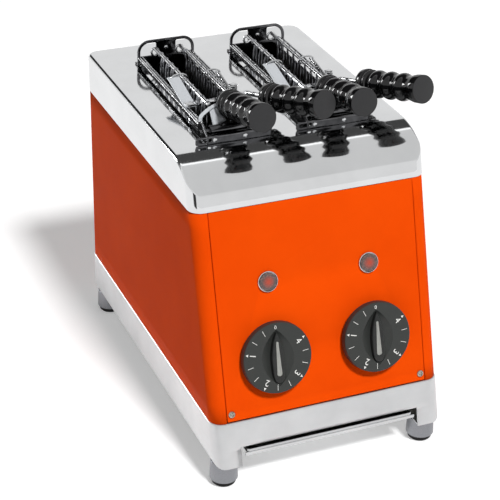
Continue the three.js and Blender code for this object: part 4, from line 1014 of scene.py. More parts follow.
class TOASTER_OT_plinth(bpy.types.Operator):
    """Satin plinth with its notch, and the gussets that carry the feet"""

    bl_idname = "toaster.plinth"
    bl_label = "Plinth"

    def execute(self, context):
        s = chosen("casing")
        # Rounded foot of the skin, rounded upper edge, the ledge that the wrapper stands on, and
        # how far the long sides end above the feet
        drop, edge, ledge, side_lift = 0.007, 0.0012, 0.014, 0.0027
        notch_half, notch_top = HALF_WIDTH - 0.025, PLINTH_LOW + 0.0175
        q = np.linspace(0, np.pi / 2, 7)
        low = np.concatenate(
            [PLINTH_LOW + drop * (1 - np.cos(q)), np.linspace(0.032, notch_top, 5)]
        )
        rise = np.concatenate(
            [
                low, np.linspace(notch_top, PLINTH_TOP - edge, 8)[1:],
                PLINTH_TOP - edge + edge * np.sin(q)[1:], [PLINTH_TOP],
            ]
        )
        inset = np.concatenate([0 * rise[:-7], edge * (1 - np.cos(q))[1:], [ledge]])
        round_to = np.maximum(s.corner_radius - inset, 0.002)
        rings = casing_rings(
            rise, HALF_WIDTH - inset, front_line(rise) + inset / math.cos(LEAN),
            CASING_BACK - inset, round_to, round_to,
        )
        # Low down the skin stays inside the front view's rounded corners
        below = np.clip(PLINTH_LOW + drop - rise, 0, None)
        limit = (HALF_WIDTH - drop + np.sqrt(np.clip(drop**2 - below**2, 0, None)))[:, None]
        rings[..., 0] = CASING_X + np.clip(rings[..., 0] - CASING_X, -limit, limit)
        at_notch = np.tile(rings[:, :1], (1, 2, 1))
        at_notch[:, 0, 0], at_notch[:, 1, 0] = CASING_X - notch_half, CASING_X + notch_half
        skin = np.concatenate([at_notch[:, 1:], rings, at_notch[:, :1]], 1)
        # Between the feet the long sides end a little higher
        y = skin[..., 1]
        between = (y > PLINTH[0].y + FOOT_BAY) & (y < CASING_BACK - FOOT_BAY)
        lifted = np.maximum(skin[..., 2], PLINTH_LOW + side_lift)
        skin[..., 2] = np.where(between, lifted, skin[..., 2])
        left, right = at_notch[len(low) - 1 :, :1], at_notch[len(low) - 1 :, 1:]
        front = np.linspace(0, 1, 9)[None, :, None] * (right - left) + left
        piece(
            "plinth_frame", joined(sheet(skin), sheet(front)), satin_stainless(), "casing",
            ["plinth"], "satin_steel", wall=PLINTH_SHEET, bend=45,
        )
        plates = []
        front_y, back_y, clear = PLINTH[0].y, CASING_BACK, 0.0016
        for sign in (-1, 1):
            for y0, y1 in (
                (front_y + clear, front_y + FOOT_BAY), (back_y - FOOT_BAY, back_y - clear)
            ):
                x0, x1 = sorted(CASING_X + sign * (HALF_WIDTH - d) for d in (0.0068, 0.0248))
                plates.append(
                    block((x0, y0, PLINTH_LOW), (x1, y1, PLINTH_LOW + PLINTH_SHEET), 0.0004)
                )
        piece("plinth_gussets", joined(*plates), satin_stainless(), "casing", slot="satin_steel")
        return {"FINISHED"}


class TOASTER_OT_tray(bpy.types.Operator):
    """Crumb tray with its rolled front lip"""

    bl_idname = "toaster.tray"
    bl_label = "Crumb tray"

    def execute(self, context):
        low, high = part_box("crumb_tray")
        # The pan stands in from the lip's ends and face; its upright walls bend into the floor
        side_in, face_in, bend, corner = 0.002, 0.001, 0.0025, 0.003
        lip_thick, lip_high, lip_round = 0.0015, 0.0034, 0.0006
        x0, x1, y0, y1 = low.x + side_in, high.x - side_in, low.y + face_in, high.y
        q = np.linspace(0, np.pi / 2, 6)
        z = np.concatenate([[high.z], low.z + bend * (1 - np.sin(q))])
        inset = np.concatenate([[0], bend * (1 - np.cos(q))])
        loops = [
            raised(rounded_outline(x0 + i, y0 + i, x1 - i, y1 - i, max(corner - i, 0.0006), 5), h)
            for i, h in zip(inset, z)
        ]
        piece(
            "tray_pan", sheet(loops, wrap_columns=True, ends=[-1]), satin_stainless(),
            "crumb_tray", ["crumb_tray"], "satin_steel", wall=TRAY_SHEET,
        )
        lip = block(tuple(low), (high.x, low.y + lip_thick, low.z + lip_high), lip_round)
        piece("tray_lip", lip, satin_stainless(), "crumb_tray", slot="satin_steel")
        return {"FINISHED"}


class TOASTER_OT_feet(bpy.types.Operator):
    """Turned foot cups with rubber pads"""

    bl_idname = "toaster.feet"
    bl_label = "Feet"

    def execute(self, context):
        pad = rounded_profile(
            [
                (0, 0, 0), (0.0095, 0, 0.0004), (0.0111, 0.0016, 0.0006), (0.0111, 0.009, 0.0004),
                (0, 0.009, 0),
            ]
        )
        for corner in ("front_left", "front_right", "rear_left", "rear_right"):
            low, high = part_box("foot_cup_" + corner)
            home = ((low.x + high.x) / 2, (low.y + high.y) / 2, 0)
            cup = rounded_profile(
                [
                    (0, high.z, 0), (0.0122, high.z, 0.0006), (0.0130, 0.0055, 0.0006),
                    (0.0114, 0.0055, 0.0004), (0.0114, 0.0093, 0), (0, 0.0093, 0),
                ]
            )
            piece(
                "foot_cup." + corner, moved(turned(cup, 64), home=home), turned_aluminium(),
                "casing", ["foot_cup_" + corner], "foot_metal",
            )
            piece(
                "foot_pad." + corner, moved(turned(pad, 64), home=home), foot_rubber(),
                "casing", ["foot_pad_" + corner], "foot_rubber",
            )
        return {"FINISHED"}


# Front controls


class TOASTER_OT_screws(bpy.types.Operator):
    """Pan-head screws with cross recesses"""

    bl_idname = "toaster.screws"
    bl_label = "Panel screws"

    def execute(self, context):
        head, seat, rim, tall, shank, tip = 0.0032, -0.0003, 0.0005, 0.0019, 0.0017, -0.0092
        slot, blur, deep, arm_end, fade = 0.00045, 0.0002, 0.0009, 0.0021, 0.0005
        a = around(96)
        r = np.concatenate([np.linspace(0, 0.92, 26), [0.97, 1.0]]) * head
        x, y = r[:, None] * np.cos(a), r[:, None] * np.sin(a)
        # The dome falls as (r / head)^4; the cross sinks where either arm's width and length reach
        dome = seat + rim + (tall - rim) * (1 - (r / head) ** 4)[:, None]
        near = np.minimum(np.abs(x), np.abs(y))
        far = np.maximum(np.abs(x), np.abs(y))
        wide = np.clip((slot - near) / blur + 0.5, 0, 1)
        sink = deep * wide * np.clip((arm_end - far) / fade, 0, 1)
        top = np.stack([x, y, dome - sink], -1)
        under = [ring(head, seat, a), ring(shank, seat, a), ring(shank, tip, a), ring(0, tip, a)]
        screw = sheet(np.concatenate([top, under]), wrap_columns=True)
        for side, sign in SIDES.items():
            piece(
                "panel_screw." + side, on_front(screw, SCREW_PLACE, sign), screw_zinc(),
                "casing", ["panel_screw_" + side], "bright_wire", bend=45,
            )
        return {"FINISHED"}


def dial_surface():
    """A dial turned in steps, its face opened by a lens-shaped hollow with pointed ends: half width
    widest · (1 - t squared), depth depth · (1 - s squared) · (1 - t squared) ^ 0.6."""
    half_length, widest, depth = 0.0262, 0.0152, 0.0046
    t = np.sin(np.linspace(-np.pi / 2, np.pi / 2, 97))
    y = t * half_length
    width = widest * np.clip(1 - (y / half_length) ** 2, 0, None)
    s = np.linspace(-1, 1, 41)[None]
    x = s * width[:, None]
    z = DIAL_FACE - depth * (1 - s**2) * np.clip(1 - t[:, None] ** 2, 0, None) ** 0.6
    hollow = sheet(np.stack([x, y[:, None] + 0 * x, z], -1))
    # The level face between the hollow's edge and the rim, the edge run anticlockwise
    edge = both_halves(np.stack([width, y], -1))
    angle = np.arctan2(edge[:, 1], edge[:, 0])
    rim = rounded_profile(
        [
            (0.028, DIAL_FACE, 0), (DIAL_RADIUS - 0.0004, DIAL_FACE, 0.0011),
            (DIAL_RADIUS, DIAL_LOW + 0.0008, 0.0004), (DIAL_RADIUS - 0.0008, DIAL_LOW, 0.0003),
            (0.004, DIAL_LOW, 0),
        ],
        6,
    )
    rows = [raised(edge, DIAL_FACE)] + [ring(r, h, angle) for r, h in rim]
    return joined(hollow, sheet(rows, wrap_columns=True))


def grip_outline(inset):
    """A pointer's outline, drawn in by inset: with s = 1 - t, the cubic s^3 A + 3 s^2 t B +
    3 s t^2 C + t^3 D from the tail to the widest place, then the quadratic s^2 D + 2 s t E + t^2 F
    to the point; and the mirror image of both."""
    long, half, tip = 0.047 - 2 * inset, 0.0115 / 2 - inset, 0.024 - inset
    tail, widest = tip - long, tip - long * 0.55
    t = np.linspace(0, 1, 25)[:, None]
    s = 1 - t
    a, b, c, d = np.array(
        [[0, tail], [half * 1.15, tail], [half, (tail + widest) / 2], [half, widest]]
    )
    e, f = np.array([[half, (widest + tip) / 2], [0, tip]])
    side = s**3 * a + 3 * s**2 * t * b + 3 * s * t**2 * c + t**3 * d
    nose = s**2 * d + 2 * s * t * e + t**2 * f
    return both_halves(np.concatenate([side, nose[1:]]))


def inlay_outline(spread_by):
    """A drop from its broad tail to its narrow tip, both half round, with as many points as the
    grip's outline."""
    tip, long = 0.0155 + spread_by, 0.032 + 2 * spread_by
    broad, slim = 0.0025 + spread_by, 0.001 + spread_by
    u = np.linspace(0, 1, 49)
    half = broad + (slim - broad) * u
    for way, end in ((u, broad), (1 - u, slim)):
        half = half * np.sqrt(np.clip(1 - (1 - np.clip(way / (end / long), 0, 1)) ** 2, 0, 1))
    return both_halves(np.stack([half, tip - long + u * long], -1))


def grip_surface():
    """The pointer grip: its outline drawn in over a rounded shoulder, and a recess for the
    inlay."""
    q = np.linspace(0, np.pi / 2, 7)
    levels = [(0, DIAL_FACE - 0.005), (0, GRIP_TOP - 0.0032)]
    levels += [
        (0.0014 * (1 - math.cos(a)), GRIP_TOP - 0.0016 + 0.0016 * math.sin(a)) for a in q
    ]
    rows = [raised(grip_outline(inset), z) for inset, z in levels]
    rows += [raised(inlay_outline(0.0003), z) for z in (GRIP_TOP, GRIP_TOP - 0.0011)]
    return sheet(rows, wrap_columns=True, ends=[-1])


def numeral(text, height):
    """A numeral in Blender's own typeface as flat faces, its middle on the origin."""
    letter = bpy.data.curves.new("numeral", "FONT")
    letter.body = text
    letter.align_x, letter.align_y = "CENTER", "CENTER"
    letter.size = height / 0.7
    letter.offset = 0.00001
    points, faces = meshed(letter)
    points[:, :2] -= (points[:, :2].max(0) + points[:, :2].min(0)) / 2
    return points, faces


def dial_print():
    """The pad-printed scale: numerals, rim arrows and strokes set out by angle, each lifted off the
    face."""
    c = chosen("controls")
    marks = []

    def set_out(surface, angle, radius):
        """A mark carried out along its angle, its own up pointing away from the axis."""
        radial = np.array([math.cos(angle), math.sin(angle), 0])
        aside = np.array([math.sin(angle), -math.cos(angle), 0])
        home = radial * radius + [0, 0, DIAL_FACE + c.ink_lift]
        marks.append(moved(surface, np.array([aside, radial, [0, 0, 1]]), home))

    x, y = 0.00022, 0.0028
    stroke = np.array([[-x, -y, 0], [x, -y, 0], [x, y, 0], [-x, y, 0]]), [[0, 1, 2, 3]]
    arrow = np.array([[-0.0012, -0.0011, 0], [0.0012, -0.0011, 0], [0, 0.0014, 0]]), [[0, 1, 2]]
    for k in range(13):
        angle = math.pi / 2 + k * c.scale_step / 3
        if k % 3:
            set_out(stroke, angle, 0.0268)
        elif k:
            set_out(numeral(str(k // 3), c.digit_height), angle, c.digit_radius)
            set_out(arrow, angle, 0.0298)
        else:
            # The nought is small and stands at the rim
            set_out(numeral("0", c.digit_height * 0.55), angle, 0.0282)
    return joined(*marks)


def face_out(thing, direction):
    """Turns the faces of flat marks the way they are seen from."""
    work = bmesh.new()
    work.from_mesh(thing.data)
    wrong = [f for f in work.faces if f.normal.dot(Vector(direction)) < 0]
    bmesh.ops.reverse_faces(work, faces=wrong)
    work.to_mesh(thing.data)
    work.free()


class TOASTER_OT_knobs(bpy.types.Operator):
    """Timer dials with pointer grips, silver inlays and printed scales"""

    bl_idname = "toaster.knobs"
    bl_label = "Timer dials"

    def execute(self, context):
        levels = GRIP_TOP - 0.0008, GRIP_TOP - 0.00005
        loops = [raised(inlay_outline(0), z) for z in levels]
        inlay = sheet(loops, wrap_columns=True, ends=(0, -1))
        parts = (
            ("dial.", dial_surface(), dial_abs(), "knob_", "dial_grey", 28),
            ("dial_grip.", grip_surface(), grip_abs(), None, "dial_grey", 28),
            ("dial_inlay.", inlay, foil_inlay(), "knob_inlay_", "inlay_grey", 35),
            ("dial_print.", dial_print(), printing_ink(), None, None, 35),
        )
        for side, sign in SIDES.items():
            for name, surface, material, node, slot, bend in parts:
                made = piece(
                    name + side, on_front(surface, DIAL_PLACE, sign), material, "knob_" + side,
                    [node + side] if node else (), slot, bend=bend,
                )
            # The last part is the print
            face_out(made, SLOPE_AXES[2])
        return {"FINISHED"}


class TOASTER_OT_lamps(bpy.types.Operator):
    """Pilot lamps: turned bezels with domed lenses"""

    bl_idname = "toaster.lamps"
    bl_label = "Pilot lamps"

    def execute(self, context):
        bezel = rounded_profile(
            [
                (0, -0.0263, 0), (0.0062, -0.0263, 0.0004), (0.0062, -0.0003, 0),
                (0.0097, -0.0003, 0.0002), (0.0094, 0.0013, 0.0006), (0.0088, 0.0015, 0.0002),
                (0.0085, 0.0003, 0), (0, 0.0003, 0),
            ]
        )
        radius = 0.0082
        lens = [(0, 0.0006), (radius, 0.0006), (radius, 0.0015)]
        lens += [
            (radius * math.cos(t), 0.0016 + 0.0011 * math.sin(t))
            for t in np.linspace(0, np.pi / 2, 14)
        ]
        for side, sign in SIDES.items():
            piece(
                "lamp_bezel." + side, on_front(turned(bezel, 64), LAMP_PLACE, sign),
                drawn_wire(), "casing", ["lamp_housing_" + side], "bright_wire",
            )
            made = piece(
                "lamp_lens." + side, on_front(turned(lens, 64), LAMP_PLACE, sign),
                lamp_lens(), "casing", ["lamp_lens_" + side], "lamp_amber",
            )
            middle = on_front(([0, 0, 0], []), LAMP_PLACE, sign)[0]
            away = (vertices_of(made.data) - middle) @ SLOPE_AXES[:2].T
            share = made.data.attributes.new("share_of_radius", "FLOAT", "POINT")
            share.data.foreach_set("value", np.linalg.norm(away, axis=1) / radius)
        return {"FINISHED"}


# Slot frames and tongs


def in_slot(side, *surfaces):
    """Surfaces in a slot's millimetres, carried to the frame's metres."""
    x, y, _ = slot_lines(side)
    points, faces = joined(*surfaces)
    return points * 0.001 + [x, y, COVER_TOP], faces


def slot_piece(stem, side, parts, material, slot, replaces=True):
    """Makes a piece of the casing that stands over a slot, with the node that it replaces."""
    nodes = [f"{stem}_{side}"] if replaces else ()
    piece(f"{stem}.{side}", in_slot(side, *parts), material, "casing", nodes, slot)


def tong_piece(stem, side, kind, parts, material, node=None, **more):
    """Makes a piece of one half of a pair of tongs, with the last word of the node that it
    replaces."""
    body = f"tong_{side}_{kind}"
    nodes = [f"{body}_{node}"] if node else ()
    surface = in_slot(side, *parts)
    piece(f"{stem}_{kind}.{side}", surface, material, body, nodes, "bright_wire", **more)


def handle_place(kind):
    """Where a handle's collar starts across its slot, its turn outwards and its rise. The moving
    handle starts 0.4 of the slots' pitch further right, and its far end stands 0.22 of the pitch
    further out than its collar."""
    if kind == "fixed":
        return 3, 0, math.radians(13)
    pitch, tilt = (slot_lines("right")[0] - slot_lines("left")[0]) * 1000, math.radians(14.5)
    return 3 + pitch * 0.4, math.asin(pitch * 0.22 / (HANDLE_LENGTH * math.cos(tilt))), tilt


def handle_axes(kind):
    """A handle's own axes in the frame: across, up and along its length, away from the slot."""
    _, splay, tilt = handle_place(kind)
    run = math.cos(tilt)
    along = np.array([run * math.sin(splay), -run * math.cos(splay), math.sin(tilt)])
    across = np.array([math.cos(splay), math.sin(splay), 0])
    return np.array([across, np.cross(along, across), along])


def handle_point(kind, distance):
    """A point on a handle's axis, so far along it from the collar's face, in its slot's
    millimetres."""
    collar = np.array([handle_place(kind)[0], COLLAR_Y, COLLAR_Z])
    return collar + distance * handle_axes(kind)[2]


def handle_profile():
    """The turned profile: a stepped collar, then waves as the mean radius less half the wave times
    the cosine, then a slightly conical foot."""
    s = chosen("handles")
    long, collar, wave = HANDLE_LENGTH / 1000, 0.012, 0.0165
    t = np.linspace(0, 3, 61)
    mean, half = (s.bulge_radius + s.waist_radius) / 2, (s.bulge_radius - s.waist_radius) / 2
    waves = np.stack([mean - half * np.cos(2 * np.pi * t), collar + wave * t], -1)
    head = rounded_profile(
        [
            (0.0034, 0.0262, 0), (0.0034, 0, 0.0003), (s.collar_radius - 0.0006, 0, 0.0012),
            (s.collar_radius, 0.0054, 0.0009), (s.bulge_radius - 0.0012, 0.0062, 0.0004),
            (s.bulge_radius, 0.0108, 0.0014), (s.waist_radius, collar, 0),
        ]
    )
    foot = rounded_profile(
        [
            (s.waist_radius, long - wave, 0), (0.0126, long - 0.0075, 0.006),
            (0.0128, long - 0.0005, 0), (0.0126, long - 0.0001, 0),
        ],
        10,
    )
    return np.concatenate([head[:-1], waves, foot[1:]])


class TOASTER_OT_handles(bpy.types.Operator):
    """Glossy turned handles with flat ends"""

    bl_idname = "toaster.handles"
    bl_label = "Tong handles"

    def execute(self, context):
        sides = chosen("handles").sides
        grip = turned(handle_profile(), sides)
        disc = rounded_profile(
            [
                (0, 0.0774, 0), (0.0123, 0.0774, 0), (0.0125, 0.0779, 0.0001), (0.0122, 0.078, 0),
                (0, 0.078, 0),
            ]
        )
        for side in SIDES:
            for kind in RODS:
                home = in_slot(side, (handle_point(kind, 0), []))[0]
                axes, body = handle_axes(kind), f"tong_{side}_{kind}"
                piece(
                    f"handle_{kind}.{side}", moved(grip, axes, home), phenolic(), body,
                    [body + "_handle"], "grip_black", bend=50,
                )
                piece(
                    f"handle_end_{kind}.{side}", moved(turned(disc, sides), axes, home),
                    faced_phenolic(), body, slot="grip_black",
                )
        return {"FINISHED"}


def domed(x, y, z, radius, height, sides=24):
    """A rivet's head facing the front: height · root(1 - (r / radius) squared), a round cap on a
    short shank."""
    a = np.linspace(0, np.pi / 2, 7)
    cap = np.stack([radius * np.cos(a), height * np.sin(a)], -1)
    profile = np.concatenate([[(0, -0.4), (radius * 0.96, -0.4)], cap])
    return moved(turned(profile, sides), STANDING, (x, y, z))


class TOASTER_OT_slot_frames(bpy.types.Operator):
    """Rails, brackets and rest bars over the slots"""

    bl_idname = "toaster.slot_frames"
    bl_label = "Slot frames"

    def execute(self, context):
        bar = rounded_profile(
            [
                (0, -31.55, 0), (2, -31.55, 0.4), (2, -23.1, 0), (4.4, -23.1, 0), (5, -22.5, 0.4),
                (5, 22.5, 0.4), (4.4, 23.1, 0), (2, 23.1, 0), (2, 31.55, 0.4), (0, 31.55, 0),
            ],
            4,
        )
        lying = moved(turned(bar, 48), EDGEWISE, (0, 8, 6.4))
        for side in SIDES:
            self.rails(side)
            self.rear_bracket(side)
            self.front_bracket(side)
            slot_piece("rest_bar", side, [lying], dark_reflection_steel(), "mirror_steel")
        return {"FINISHED"}

    def rails(self, side):
        """A folded channel's section with rolled lips, carried along the slot."""
        section = ring_outline(
            [
                (29, 4.7, 0.6), (29, 9.5, 1.2), (26.3, 9.5, 0.5), (26.3, 6.9, 0.2),
                (24.9, 6.9, 0.2), (24.9, 9.5, 0.5), (23.7, 9.5, 0.5), (23.7, 4.7, 0.6),
            ]
        )
        points, faces = section_along(section, [[0, 21, 0], [0, 182.5, 0]])
        for end, sign in (("a", -1), ("b", 1)):
            piece(
                f"slot_rail_{end}.{side}", in_slot(side, (points * [sign, 1, 1], faces)),
                drawn_wire(), "casing", [f"slot_rail_{side}_{end}"], "bright_wire",
            )

    def rear_bracket(self, side):
        """A stamped plate with two windows and a tongue into the slot, its two feet, and two
        rivets."""
        outline = ring_outline(
            [
                (24.5, -12, 0.8), (24.5, 0.3, 0.2), (29, 0.3, 0.3), (29, 25.3, 12),
                (-29, 25.3, 12), (-29, 0.3, 0.3), (-24.5, 0.3, 0.2), (-24.5, -12, 0.8),
            ],
            8,
        )
        window = ring_outline([(10, 9.5, 1), (26, 9.5, 0.8), (26, 22.3, 9), (10, 22.3, 1.5)], 8)
        plate = stamped(outline, [window, (window * [-1, 1])[::-1]], -0.75, 0.75, 0.6)
        feet = [
            block((x0, 182.87, 0.3), (x1, 190.87, 1.8), 0.4)
            for x0, x1 in ((25.7, 29), (-29, -25.7))
        ]
        rivets = [domed(0, 182.87, z, 1.9, 1.1) for z in (16.2, 1.8)]
        standing = moved(plate, STANDING, (0, 183.62, 0))
        slot_piece("rear_rivets", side, rivets, drawn_wire(), "bright_wire", replaces=False)
        slot_piece("rear_bracket", side, [standing, *feet], dark_reflection_steel(), "mirror_steel")

    def front_bracket(self, side):
        """A low plate with a window, cheeks that hold the rest bar, seats under the rails, and two
        rivets."""
        outline = ring_outline(
            [(30.8, 0.3, 0.5), (30.8, 7.5, 1.2), (-41, 7.5, 1.8), (-41, 0.3, 1.8)]
        )
        window = ring_outline([(-26, 2.3, 0.6), (-26, 5.9, 0.6), (-38, 5.9, 0.6), (-38, 2.3, 0.6)])
        plate = stamped(outline, [window], -0.75, 0.75, 0.4)
        cheek = ring_outline(
            [
                (31, 0.3, 0.6), (31, 4.4, 0.6), (15, 4.4, 1), (15, 15, 3.3), (3.5, 15, 4),
                (-6, 7.5, 1.2), (-6, 0.3, 0.5),
            ],
            6,
        )
        hole = circle_outline(8, 6.4, 2.3, 24)
        cheeks = [
            moved(stamped(cheek, [hole], low, high, 0.35), EDGEWISE)
            for low, high in ((29.3, 30.8), (-30.8, -29.3))
        ]
        seats = [
            block((x0, 21, 2.9), (x1, 31, 4.4), 0.3) for x0, x1 in ((23.7, 30.4), (-30.4, -23.7))
        ]
        rivets = [domed(x, -6, 3.9, 2.2, 1) for x in (-23, 5.5)]
        standing = moved(plate, STANDING, (0, -5.25, 0))
        parts = [standing, *cheeks, *seats]
        slot_piece("front_rivets", side, rivets, drawn_wire(), "bright_wire", replaces=False)
        slot_piece("front_bracket", side, parts, dark_reflection_steel(), "mirror_steel")


def grid_frame(x):
    """A grid's rod with an eye at its back end, and the lower rod that its wires end on."""
    eye = np.roll(ring(3.6, 0, around(28)), 1, 1)[:, [1, 0, 2]] + [x, ROD_END, ROD_RISE - 3.6]
    return [
        tube([[x, 33, ROD_RISE], [x, 80, ROD_RISE], [x, ROD_END, ROD_RISE]], 1.9, 24),
        tube(
            [[x, end, GRID_LOW] for end in (COMB[0] - COMB_HALF_PITCH, COMB[-1] + COMB_HALF_PITCH)],
            1.5, 16,
        ),
        tube(eye, 1.1, 12, closed=True, up=(0, 1, 0)),
    ]


class TOASTER_OT_tong_grids(bpy.types.Operator):
    """Grids of the tongs: rods, wires hooked over the upper one, and a leg between each two"""

    bl_idname = "toaster.tong_grids"
    bl_label = "Tong grids"

    def execute(self, context):
        hook = np.linspace(-0.35 * np.pi, np.pi, 12)
        for side in SIDES:
            for kind, inward in (("fixed", 1), ("moving", -1)):
                x = RODS[kind]
                # A hooked wire: over the rod, back to its middle line and down
                over_x = x - inward * 1.75 * np.cos(hook)
                over = np.stack([over_x, 0 * hook, ROD_RISE + 1.75 * np.sin(hook)], -1)
                down = [
                    [over_x[-1] - inward * 0.7, 0, ROD_RISE - 5], [x, 0, ROD_RISE - 9],
                    [x, 0, GRID_LOW],
                ]
                hooked = tube(np.concatenate([over, down]), 1, 8, up=(0, 1, 0))
                # The leg after it: straight from the rod, or a hairpin off the wire before
                level, far = ROD_RISE - 6, COMB_HALF_PITCH
                if kind == "fixed":
                    leg = [[x, far, ROD_RISE - 1.2], [x, far, level], [x, far, GRID_LOW]]
                else:
                    leg = bent([[x, 0, level], [x, far, level], [x, far, GRID_LOW]], 1.6, 4)
                legs = tube(leg, 0.9, 8, up=(1, 0, 0))
                comb = [moved(hooked, home=(0, y, 0)) for y in COMB]
                comb += [moved(legs, home=(0, y, 0)) for y in COMB[:-1]]
                tong_piece("grid", side, kind, grid_frame(x), drawn_wire(), "grid")
                tong_piece("comb", side, kind, comb, dulled_wire())
        return {"FINISHED"}


def arm_parts(kind, low, ends, post, link, foot):
    """What both arms have: a cross bar from height low up between its filleted ends (x, fillet), an
    eye about the pivot, a post for the spring on a tab, an oval link on the rod's middle line and
    the bent neck from the bar's foot point into the handle."""
    (x0, fillet0), (x1, fillet1) = ends
    bar = ring_outline(
        [
            (x1, BAR_FRONT, fillet1), (x1, BAR_BACK, fillet1),
            (x0, BAR_BACK, fillet0), (x0, BAR_FRONT, fillet0),
        ]
    )
    wide, narrow = circle_outline(*PIVOT, 6, 40), circle_outline(*PIVOT, 2.3, 24)
    x, post_low, post_high = post
    a = around(40)
    oval = np.stack([link + 7.6 * np.cos(a), 100 + 0 * a, ROD_RISE + 3.8 * np.sin(a)], -1)
    neck = bent([foot, handle_point(kind, -2.4), handle_point(kind, 20)], 4)
    return [
        stamped(bar, [], low, low + BAR_THICK, 0.5),
        stamped(wide, [narrow], low + 0.05, low + BAR_THICK - 0.05, 0.35),
        block((x - 1.6, 51.4, low + 0.1), (x + 1.6, 55.6, low + BAR_THICK - 0.1), 0.4),
        tube([[x, 53, post_low], [x, 53, post_high]], 0.8, 14, up=(0, 1, 0)),
        tube(oval, 0.8, 12, closed=True, up=(0, 1, 0)),
        tube(neck, 2.4, 24, up=(1, 0, 0)),
        tube([handle_point(kind, -1), handle_point(kind, 26)], 3, 24, up=(1, 0, 0)),
    ]


def strip_along(flat, x, low):
    """A strip of this section: level over the cross bar, then straight up to the link."""
    path = bent(
        [[x, BAR_FRONT, low], [x, 62.5, low], [x, 98.4, ROD_RISE], [x, 102.5, ROD_RISE]], 3, 5
    )
    return section_along(flat, path)


class TOASTER_OT_tong_arms(bpy.types.Operator):
    """Arms of the tongs: strips, cross bars, straps, links and the necks that carry the handles"""

    bl_idname = "toaster.tong_arms"
    bl_label = "Tong arms"

    def execute(self, context):
        for side in SIDES:
            self.fixed_arm(side)
            self.moving_arm(side)
        return {"FINISHED"}

    def fixed_arm(self, side):
        """The arm on the pin's lower side, with its beaded strip, the strap and the gusset."""
        parts = arm_parts(
            "fixed", 9.8, ((-27, 1.6), (20, 0.3)), (14.95, 10.5, 22.25), RODS["fixed"] - 3.8,
            [3, 58.5, 11.6],
        )
        parts.append(block((-23.4, BAR_FRONT, 1.8), (-21.6, BAR_BACK, 11.4), 0.5))
        tong_piece("arm", side, "fixed", parts, drawn_wire(), "arm")
        # Rolled along its outer edge: a flat bar's section with a round bead on the left
        flat = ring_outline(
            [
                (5.75, -0.9, 0.3), (5.75, 0.9, 0.3), (-4.6, 0.9, 0.2), (-5.75, 1.9, 0.9),
                (-5.75, -0.9, 0.9),
            ]
        )
        strap = through(
            [
                (-27.5, 19, 11.7), (-25.9, 20.6, 15.6), (-19, 23, 19.5), (-6.9, 34, 17.9),
                (3, 40, 15.4),
            ],
            10,
        )
        narrow = rounded_outline(-1.7, -0.85, 1.7, 0.85, 0.5, 3)
        band = section_along(narrow, strap, up=(0.3, -0.2, 1))
        tong_piece(
            "strip", side, "fixed", [strip_along(flat, -22.7, 10.7), band], blasted_strip()
        )
        # A gusset hangs from the strap to the rest bar: straight lines between two edges,
        # (1-t) top + t low
        top = np.array([[-15.5, 25.6, 18.6], [-8, 32.6, 17.6]])
        low = np.array([[-15.5, 17.6, 4.6], [-3, 17.6, 10.2]])
        u, t = np.linspace(0, 1, 7)[None, :, None], np.linspace(0, 1, 7)[:, None, None]
        grid = (1 - t) * ((1 - u) * top[0] + u * top[1]) + t * ((1 - u) * low[0] + u * low[1])
        piece(
            "gusset." + side, in_slot(side, sheet(grid)), blasted_strip(), f"tong_{side}_fixed",
            slot="bright_wire", wall=0.0012,
        )

    def moving_arm(self, side):
        """The arm on the pin's upper side, with its narrow strip."""
        # Its neck starts where the handle's axis, seen from above, crosses the bar at the pivot
        _, splay, tilt = handle_place("moving")
        reach = (PIVOT[1] - COLLAR_Y) / (math.cos(tilt) * math.cos(splay))
        x, y, _ = handle_point("moving", -reach)
        parts = arm_parts(
            "moving", 12.5, ((16, 0.5), (x + 4, 1.6)), (25.05, 13, 18.1), RODS["moving"] + 3.8,
            [x, y, 13.7],
        )
        tong_piece("arm", side, "moving", parts, drawn_wire(), "arm")
        half, edge = 1.7, 0.9
        flat = ring_outline(
            [(half, -edge, 0.5), (half, edge, 0.5), (-half, edge, 0.5), (-half, -edge, 0.5)]
        )
        tong_piece("strip", side, "moving", [strip_along(flat, 21, 13.4)], drawn_wire())


class TOASTER_OT_tong_pivots(bpy.types.Operator):
    """Pivot pins and wound return springs"""

    bl_idname = "toaster.tong_pivots"
    bl_label = "Tong pivots"

    def execute(self, context):
        pin = rounded_profile(
            [
                (0, 8, 0), (2.97, 8, 0.3), (2.97, 9.5, 0.2), (2, 9.5, 0), (2, 22.55, 0),
                (4.2, 22.55, 0.2), (4.2, 23.6, 0.5), (2.6, 24.05, 0.6), (0, 24.05, 0),
            ],
            4,
        )
        home = *PIVOT, 0
        # A helix: (3.4 cos a, 3.4 sin a), rising 1.7 for each turn, with a leg at each end that
        # stays inside its post when the arms close
        a, low = np.linspace(0, 7 * np.pi, 113), 15.75
        high = low + 1.7 * a[-1] / (2 * np.pi)
        coil = ring(3.4, low + 1.7 * a / (2 * np.pi), a)
        legs = [[2.7, -7.8, low], [3.2, -4, low]], [[-3.2, -4, high], [-2.7, -7.8, high]]
        wire = tube(np.concatenate([legs[0], coil, legs[1]]), 0.55, 12)
        for side in SIDES:
            body = f"tong_{side}_yoke"
            piece(
                "pivot_pin." + side, in_slot(side, moved(turned(pin, 40), home=home)),
                drawn_wire(), body, [f"tong_{side}_pivot_pin"], "bright_wire",
            )
            piece(
                "return_spring." + side, in_slot(side, moved(wire, home=home)),
                spring_wire(), body, [f"tong_{side}_spring"], "raw_sheet",
            )
        return {"FINISHED"}


